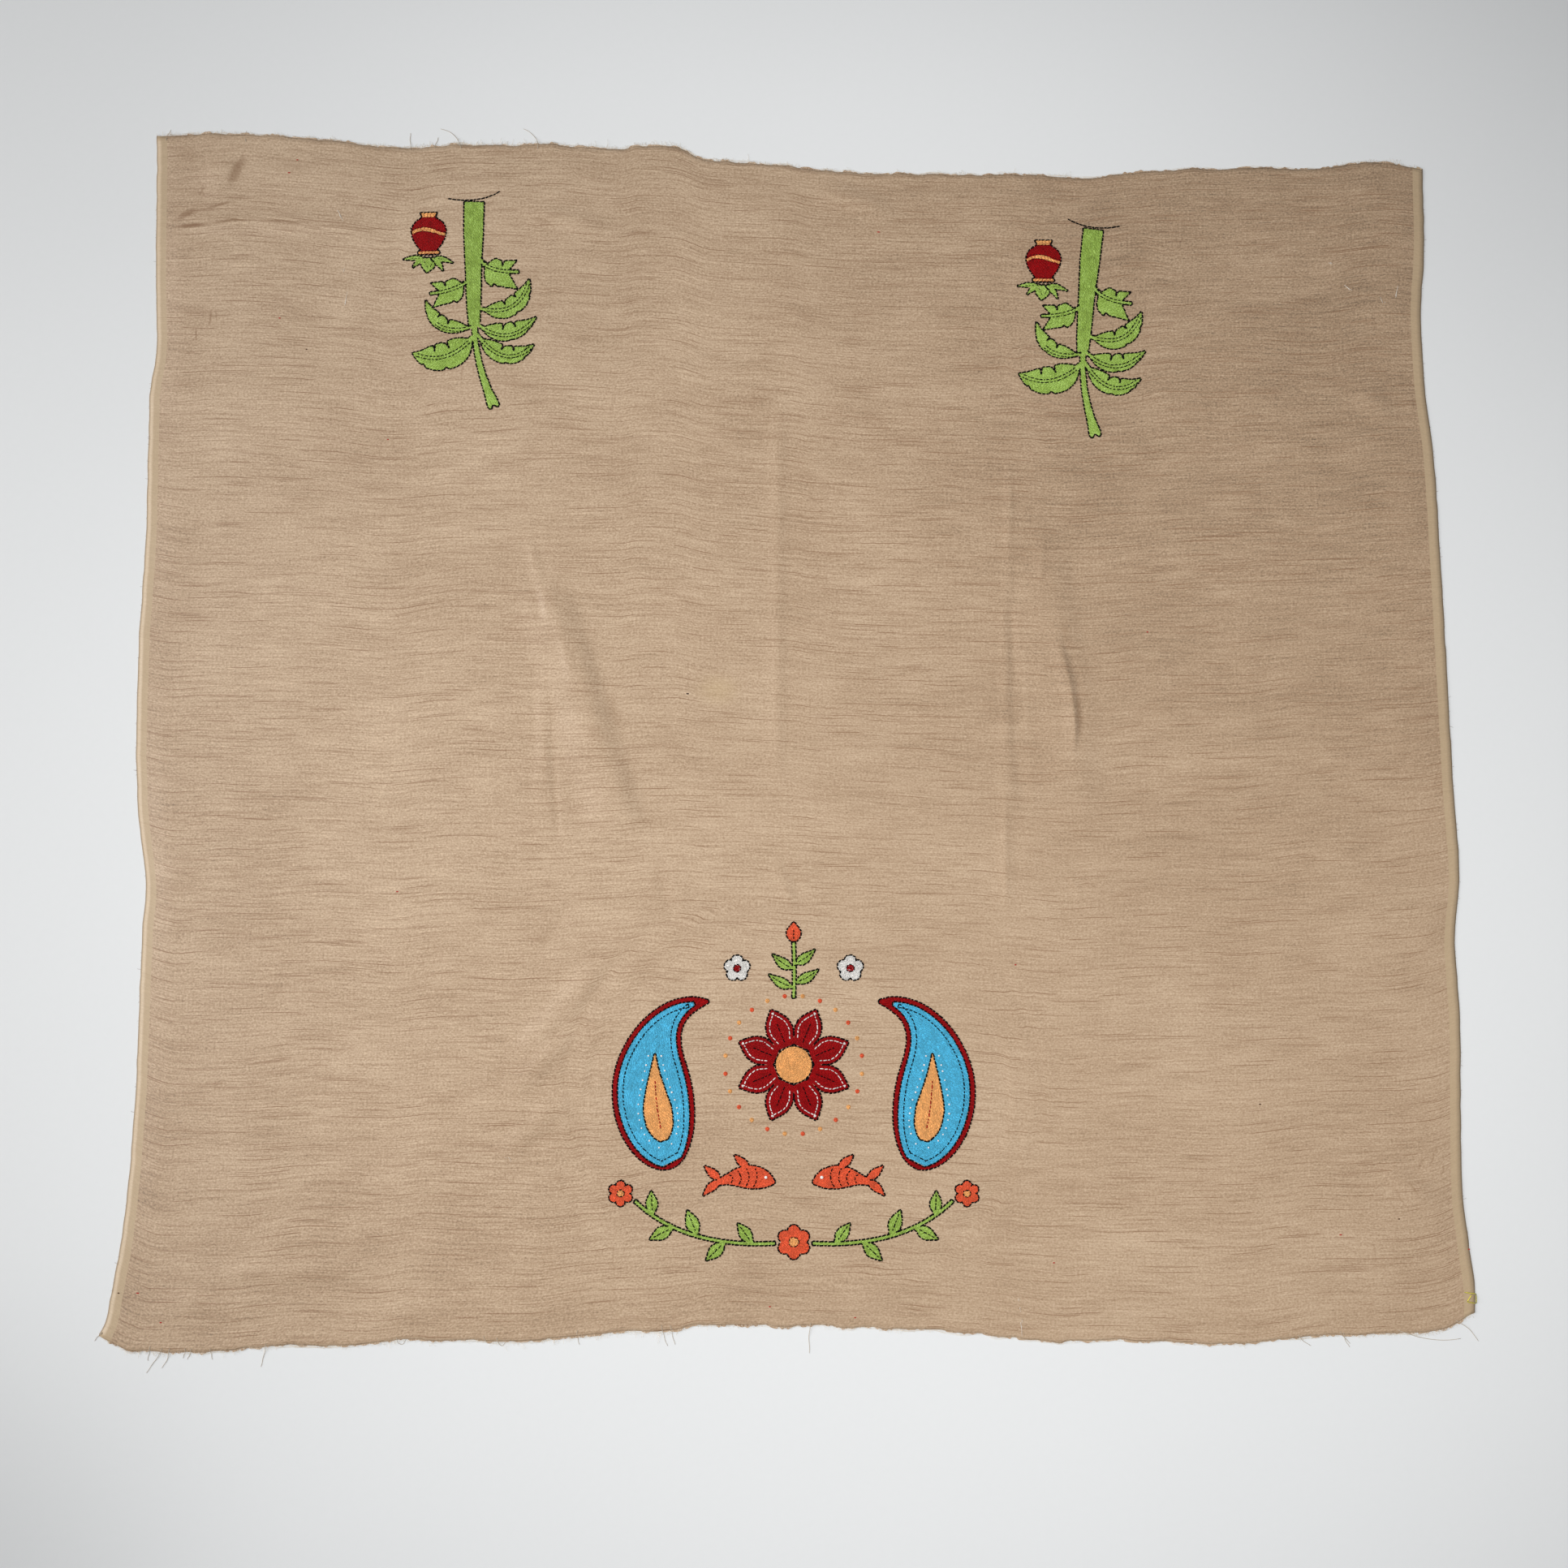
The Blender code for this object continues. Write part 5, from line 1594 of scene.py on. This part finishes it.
def make_garlands():
    """A leafy vine on each side, between the middle flower and an end flower."""
    leaves = []
    for along, side, length, half in VINE_LEAVES:
        root = bezier(VINE_PATH, np.array([along, along + 0.02]))
        ahead = root[1] - root[0]
        turn = math.atan2(ahead[1], ahead[0]) + math.radians(VINE_LEAF_ANGLE) * side
        leaves.append(([root[0], root[0] + length * np.array([math.cos(turn), math.sin(turn)])], half))
    shapes, veins = leafy(VINE_PATH, leaves)
    batches = []
    for side in SIDES:
        shown = on_side(side, shapes)
        fill("garland_" + side, "green_thread", MIDDLE, shown)
        batches += [outline_batch(shown, MIDDLE), line_batch(on_side(side, veins), MIDDLE)]
    return batches


def make_flowers():
    batches = []
    for name, (x, y, count, reach, thread) in FLOWERS.items():
        half = reach * math.pi / count * 0.72
        petals = [shape for _, shape in petals_round((x, y), count, reach * 0.1, reach, FLOWER_PETAL, half)]
        size = reach * FLOWER_EYE
        eye = disc((x, y), size)
        fill(name, thread, MIDDLE, petals, avoid=[eye])
        eye_thread = "red_thread" if thread == "white_thread" else "yellow_thread"
        fill(name + "_eye", eye_thread, MIDDLE, [ringed((x, y), size)], work=BANDING, replaced=[])
        batches.append(outline_batch(petals, MIDDLE, avoid=[eye]))
        batches.append(outline_batch([disc((x, y), size, 16)], MIDDLE, VEINING, 0.1))
    return batches


def make_fish():
    """Two fish nose to nose, with their scales, fins and eyes."""
    body = swept(FISH_PATH, FISH_ROWS, rounded=True)
    shapes = [body] + [swept(path, SMALL_LEAF, half, True) for path, half in FISH_FINS]
    scales = []
    for along in FISH_SCALES:
        middle, normal = (part[0] for part in spine(FISH_PATH, np.array([along])))
        reach = np.interp(along, *np.array([row[:2] for row in FISH_ROWS], float).T) - 1.6
        bow = np.linspace(-1, 1, 9)[:, None]
        ahead = np.array([normal[1], -normal[0]])
        scales.append(middle + normal * bow * reach + ahead * (1 - bow ** 2) * -2.6)
    batches = []
    for side in SIDES:
        shown = on_side(side, shapes)
        fill("fish_" + side, "orange_thread", MIDDLE, shown)
        batches += [outline_batch(shown, MIDDLE), line_batch(on_side(side, scales), MIDDLE)]
        knots("fish_eye_" + side, "white_thread", on_side(side, [np.array(FISH_EYE)]), 2.6)
    return batches


def make_sprig():
    leaves = []
    for side, root, reach, rise in SPRIG_LEAVES:
        path = [(0, root), (side * reach * 0.5, root + rise * 0.2), (side * reach, root + rise)]
        leaves.append((path, SPRIG_LEAF_HALF))
    shapes, veins = leafy(SPRIG_STEM, leaves)
    fill("sprig", "green_thread", MIDDLE, shapes)
    bud = swept(BUD_PATH, BUD_ROWS, rounded=True)
    fill("sprig_bud", "orange_thread", MIDDLE, [bud])
    return [
        outline_batch([*shapes, bud], MIDDLE),
        line_batch(veins, MIDDLE),
        line_batch([beside(BUD_PATH, 0.0, 0.1, 0.6)], MIDDLE),
    ]


def make_seed_ring():
    """A ring of small satin dots round the flower, yellow and orange by turns."""
    turns = np.radians(np.arange(SEED_RING_COUNT) * 360 / SEED_RING_COUNT + SEED_RING_TURN)
    ring = np.array(LOTUS_CENTRE) + SEED_RING_RADIUS * np.stack([np.sin(turns), np.cos(turns)], axis=1)
    for first, colour_name in enumerate(("yellow", "orange")):
        dots = [hatched(disc(centre, SEED_RADIUS, 12), 0.0) for centre in ring[first::2]]
        fill("seed_dots_" + colour_name, colour_name + "_thread", MIDDLE, dots, replaced=[])


def make_middle():
    batches = make_lotus() + make_paisleys() + make_garlands() + make_flowers() + make_fish() + make_sprig()
    make_seed_ring()
    sew_outlines("middle_outlines", batches)


# The silk's edges and what is caught in it


def add_strands(name, lines, radius, fibre, sides=3, taper=0.55):
    """Many fine threads as one piece: lines is an array of threads by points by x, y, z in millimetres."""
    lines = np.asarray(lines, float)
    count, steps, _ = lines.shape
    ahead = np.gradient(lines, axis=1)
    ahead = ahead / np.maximum(np.linalg.norm(ahead, axis=2, keepdims=True), 1e-9)
    side = np.cross(ahead, (0, 0, 1))
    side = side / np.maximum(np.linalg.norm(side, axis=2, keepdims=True), 1e-9)
    up = np.cross(side, ahead)
    turns = np.arange(sides) * 2 * np.pi / sides
    size = radius * np.linspace(1, taper, steps)[None, :, None, None]
    ring = side[:, :, None, :] * np.cos(turns)[:, None] + up[:, :, None, :] * np.sin(turns)[:, None]
    points = (lines[:, :, None, :] + ring * size).reshape(-1, 3)
    j, k = np.meshgrid(np.arange(steps - 1), np.arange(sides), indexing="ij")
    after = (k + 1) % sides
    here, ahead_here = j * sides, (j + 1) * sides
    quads = np.stack([here + k, here + after, ahead_here + after, ahead_here + k], axis=-1)
    caps = np.array([np.arange(sides)[::-1], np.arange(sides) + (steps - 1) * sides])
    shift = (np.arange(count) * steps * sides)[:, None, None]
    every = (quads.reshape(1, -1, 4) + shift).reshape(-1, 4)
    ends = (caps[None] + shift).reshape(-1, sides)
    return finish_piece(add_mesh(name, points, [every, ends], MATERIALS[fibre]))


def bent_line(path, steps):
    return bezier(path, np.linspace(0, 1, steps))


def cut_edge_at(table, x):
    """One cut edge's place, with its waver, at many x."""
    edge = smooth_between(table, x)
    return edge + straying(CUT_WAVER, x, edge)


def wavering_edge(table, share):
    """Points along one wavering cut edge, at shares of its length."""
    x = table[0][0] + share * (table[-1][0] - table[0][0])
    return x, cut_edge_at(table, x)


def make_fringe(name, table, outwards, clumps):
    """The frayed ends of the warp past one cut edge."""
    count = int((table[-1][0] - table[0][0]) / FRAY_PITCH)
    share = (np.arange(count) + dice.uniform(-0.4, 0.4, count)) / count
    x, edge = wavering_edge(table, np.clip(share, 0, 1))
    long = FRAY_SHORTEST + dice.gamma(*FRAY_LONGER, count)
    for row in FRAY_UNEVEN:
        long = long * (1 + straying([row], x, edge))
    for low, high, more in clumps:
        long = long * np.where((x > low) & (x < high), more, 1.0)
    lean = straying(FRAY_LEAN, x, edge) + dice.normal(0, FRAY_SCATTER, count)
    steps = np.linspace(0, 1, 4)[None, :]
    plan_y = edge[:, None] + outwards * ((long + FRAY_START)[:, None] * steps - FRAY_START)
    plan_x = x[:, None] + (lean * long)[:, None] * steps ** 1.6
    root = silk_heights(np.column_stack([x, edge - outwards * FRAY_ROOT])) - SILK_THICKNESS * 0.5
    fall = 0.2 + dice.uniform(0, 1.1, count)
    z = root[:, None] + (fall - root)[:, None] * steps ** 0.8
    lines = np.stack([plan_x, plan_y, np.maximum(z, 0.13)], axis=2)
    return add_strands(name, lines, FRAY_RADIUS, "loose_silk")


def make_ragged_edge(name, table, outwards):
    """A strip of the silk along one cut edge, its outer side torn by the millimetre."""
    columns = int((table[-1][0] - table[0][0]) / TORN_PITCH)
    share = np.linspace(0, 1, columns + 1)
    x, edge = wavering_edge(table, share)
    torn = TORN_REACH + straying(TORN_UNEVEN, x, edge)
    inner = edge - outwards * TORN_INSIDE
    outer = edge + outwards * np.maximum(torn, -TORN_DEEPEST)
    height = silk_heights(np.column_stack([x, inner])) + TORN_OVER
    outer_height = np.maximum(height - TORN_FALL, TORN_LOWEST)
    top = np.concatenate([np.column_stack([x, inner, height]), np.column_stack([x, outer, outer_height])])
    points = np.concatenate([top, top - (0, 0, TORN_THICKNESS)])
    i = np.arange(columns)
    step = columns + 1
    # corners of each column's block: inner and outer on top, then inner and outer below
    a, b, c, d = i, i + step, i + 2 * step, i + 3 * step
    quads = [(a, b, b + 1, a + 1), (c, c + 1, d + 1, d), (b, d, d + 1, b + 1), (a, a + 1, c + 1, c)]
    quads = np.concatenate([np.stack(quad, axis=1) for quad in quads])
    first = np.array([0, 2 * step, 3 * step, step])
    quads = np.concatenate([quads, [first, first[[0, 3, 2, 1]] + columns]])
    piece = add_mesh(name, points, [quads if outwards < 0 else quads[:, ::-1]], MATERIALS["silk"])
    v = 0.5 * FLAT_LENGTH * (1 + outwards)
    weave = np.column_stack([np.tile(share, 4) * FLAT_WIDTH, v + (points[:, 1] - np.tile(inner, 4)) * MM])
    set_uv(piece.data, piece.data.uv_layers.new(name="weave"), weave)
    # flat shaded, so that its sides don't darken its upper face
    piece.data.shade_flat()
    return finish_piece(piece)


def make_loose_wefts(name, table, outwards, count):
    """Weft threads working loose along a cut edge, each wavering beside it."""
    lines = []
    for _ in range(count):
        long = dice.uniform(*WEFT_LENGTHS)
        start = dice.uniform(table[0][0] + 4, table[-1][0] - 30)
        x = np.linspace(start, start + long, 9)
        edge = cut_edge_at(table, x)
        away = dice.uniform(0.1, 1.1) + 0.5 * soft_noise(x, edge, 4, 400, int(dice.integers(100, 900)))
        bow = dice.uniform(0, 1.4) * np.sin(np.linspace(0, np.pi, 9))
        z = 0.35 + 0.3 * dice.uniform(0, 1, 9)
        lines.append(np.column_stack([x, edge + outwards * (away + bow), z]))
    return add_strands(name, lines, WEFT_RADIUS, "loose_silk", taper=0.9)


def make_loose_threads():
    """Longer threads hanging out past the cut edges: over the silk at their root, then on the floor."""
    lines = []
    steps = 14
    for path in LOOSE_THREADS:
        plan = bent_line(path, steps)
        wave = np.sin(np.linspace(0, 3 * np.pi, steps) + dice.uniform(0, 6)) * 0.3
        plan = plan + np.column_stack([wave, np.zeros(steps)])
        over = silk_heights(plan[:4]).max() + 0.15
        z = np.interp(np.arange(steps), [0, 3, 6, steps - 1], [over, over, 0.3, 0.2])
        lines.append(np.column_stack([plan, z]))
    return add_strands("loose_threads", lines, LOOSE_RADIUS, "stray_silk", 5, 0.7)


def make_selvage_loops():
    """Short barbs and loops of weft standing out of the two selvages."""
    lines = []
    places = [*BARBS, *((side, y) for side in (-1, 1) for y in dice.uniform(*BARB_SPAN, SHORT_BARBS))]
    for number, (side, y) in enumerate(places):
        table = RIGHT_EDGE if side > 0 else LEFT_EDGE
        x = float(smooth_between(table, np.array([y]))[0])
        long = dice.uniform(*(LONG_BARB if number < len(BARBS) else SHORT_BARB))
        drop = dice.uniform(-1.5, 1.5)
        path = [(x - side * 1.2, y), (x + side * long, y + drop * 0.3), (x + side * long * 0.8, y + drop)]
        plan = bent_line(path, 6)
        z = np.interp(np.arange(6), [0, 2, 5], [0.7, 0.5, 0.25])
        lines.append(np.column_stack([plan, z]))
    return add_strands("selvage_loops", lines, BARB_RADIUS, "selvage_fibre")


def make_pulled_threads():
    """Short lengths of pale thread lying on the weave, three to each place."""
    lines = []
    for low, high in PULLED_THREADS:
        for _ in range(3):
            a = np.array(low) + dice.normal(0, 0.7, 2)
            b = np.array(high) + dice.normal(0, 0.7, 2)
            cut = np.sort(dice.uniform(0, 1, 2))
            ends = a + (b - a) * cut[:, None]
            plan = bent_line([ends[0], ends.mean(axis=0) + dice.normal(0, 0.5, 2), ends[1]], 6)
            z = silk_heights(plan) + 0.05 + 0.08 * np.sin(np.linspace(0, np.pi, 6))
            lines.append(np.column_stack([plan, z]))
    return add_strands("pulled_threads", lines, PULLED_RADIUS, "pale_fibre")


def make_nubs(colour):
    """Nubs of one colour of fibre, each a low lump drawn out along the weft."""
    form, faces = KNOT
    rows = [row for row in NUBS if row[3] == colour]
    centres = np.array([row[:2] for row in rows], float)
    heights = silk_heights(centres)
    points = []
    for (x, y, long, _), z in zip(rows, heights):
        points.append(form * (long * NUB_STRETCH, NUB_WIDTH, NUB_HEIGHT) + (x, y, z + NUB_OVER))
    every = arrayed(faces, len(rows), len(form))
    piece = add_mesh("nubs_" + colour, np.concatenate(points), every, MATERIALS["fibre_" + colour])
    return finish_piece(piece)


def make_corner_stitch():
    """The yellow marking thread sewn through the lower right corner."""
    path = np.array([(564, -478), (574, -480), (573.5, -487.5), (566, -486), (570, -480)], float)
    lines = [path[i:i + 2] for i in range(4)]
    stitches = lay_stitches(lines, CORNER_WORK, True)
    return sew("corner_stitch", "lemon_thread", [(stitches, CORNER_WORK)])


# The floor it lies on, the light and the camera


def make_stage():
    deselect_all()
    bpy.ops.mesh.primitive_plane_add(size=14, location=(0, 0, 0))
    floor = active_object("floor")
    floor.data.materials.append(floor_finish())
    return floor


# The photographed view: the camera's place, its tilt in degrees and its lens in millimetres
CAMERA_PLACE = (-0.0032, -0.2668, 1.8878)
CAMERA_TILT = 6.5
LENS = 50.98
KEY_PLACE = (-2.48, 0.12, 1.42)
KEY_SIZE = 2.0
KEY_POWER = 56.5
# A soft light beside the camera, brightest on the lower right: place, where it points, its cone in degrees
FILL_PLACE = (0.24, -0.405, 2.13)
FILL_AIM = (0.235, -0.19, 0.0)
FILL_CONE = 70
FILL_POWER = 120
FILL_RADIUS = 0.25
LAMP_COLOUR = (1.0, 0.99, 0.97)
# The even light of the room
ROOM_COLOUR = (0.96, 0.98, 1.0, 1)
ROOM_STRENGTH = 0.17


def make_camera():
    bpy.ops.object.camera_add(location=CAMERA_PLACE, rotation=(math.radians(CAMERA_TILT), 0, 0))
    camera = bpy.context.view_layer.objects.active
    camera.data.lens = LENS
    camera.data.sensor_width = 36
    bpy.context.scene.camera = camera


def add_lamp(kind, place, aim, power):
    bpy.ops.object.light_add(type=kind, location=place)
    lamp = bpy.context.view_layer.objects.active
    lamp.rotation_euler = (Vector(aim) - Vector(place)).to_track_quat("-Z", "Y").to_euler()
    lamp.visible_camera = False
    lamp.data.energy = power
    lamp.data.color = LAMP_COLOUR
    return lamp


def make_light():
    key = add_lamp("AREA", KEY_PLACE, (0, 0, 0), KEY_POWER).data
    key.size = KEY_SIZE
    soft_lamp = add_lamp("SPOT", FILL_PLACE, FILL_AIM, FILL_POWER)
    soft_lamp.visible_glossy = False
    soft = soft_lamp.data
    soft.spot_size = math.radians(FILL_CONE)
    soft.spot_blend = 1.0
    soft.shadow_soft_size = FILL_RADIUS
    world = bpy.context.scene.world or bpy.data.worlds.new("soft_room")
    bpy.context.scene.world = world
    world.use_nodes = True
    room = world.node_tree.nodes["Background"]
    room.inputs["Color"].default_value = ROOM_COLOUR
    room.inputs["Strength"].default_value = ROOM_STRENGTH
    bpy.context.scene.view_settings.view_transform = "Standard"


MATERIALS = {name: thread_finish(name, colour) for name, colour in THREADS.items()}
MATERIALS["silk"] = silk_finish()
MATERIALS |= {name: fibre_finish(name, colour) for name, colour in FIBRES.items()}
STITCH = stitch_form()
KNOT = knot_form()

silk = make_silk()
silk.data.materials.append(MATERIALS["silk"])
finish_piece(silk, ["cloth"])
SILK_TREE = BVHTree.FromObject(silk, bpy.context.evaluated_depsgraph_get())
for side in SIDES:
    make_plant(side)
    make_pot(side)
make_middle()
trimmings = [
    make_fringe("frayed_edge_top", TOP_EDGE, 1, TOP_CLUMPS),
    make_fringe("frayed_edge_bottom", BOTTOM_EDGE, -1, BOTTOM_CLUMPS),
    make_ragged_edge("ragged_edge_top", TOP_EDGE, 1),
    make_ragged_edge("ragged_edge_bottom", BOTTOM_EDGE, -1),
    make_loose_wefts("loose_wefts_top", TOP_EDGE, 1, LOOSE_WEFTS),
    make_loose_wefts("loose_wefts_bottom", BOTTOM_EDGE, -1, LOOSE_WEFTS),
    make_loose_threads(),
    make_selvage_loops(),
    make_pulled_threads(),
    make_corner_stitch(),
]
trimmings += [make_nubs(colour_name) for colour_name in NUB_COLOURS]
floor = make_stage()
make_camera()
make_light()
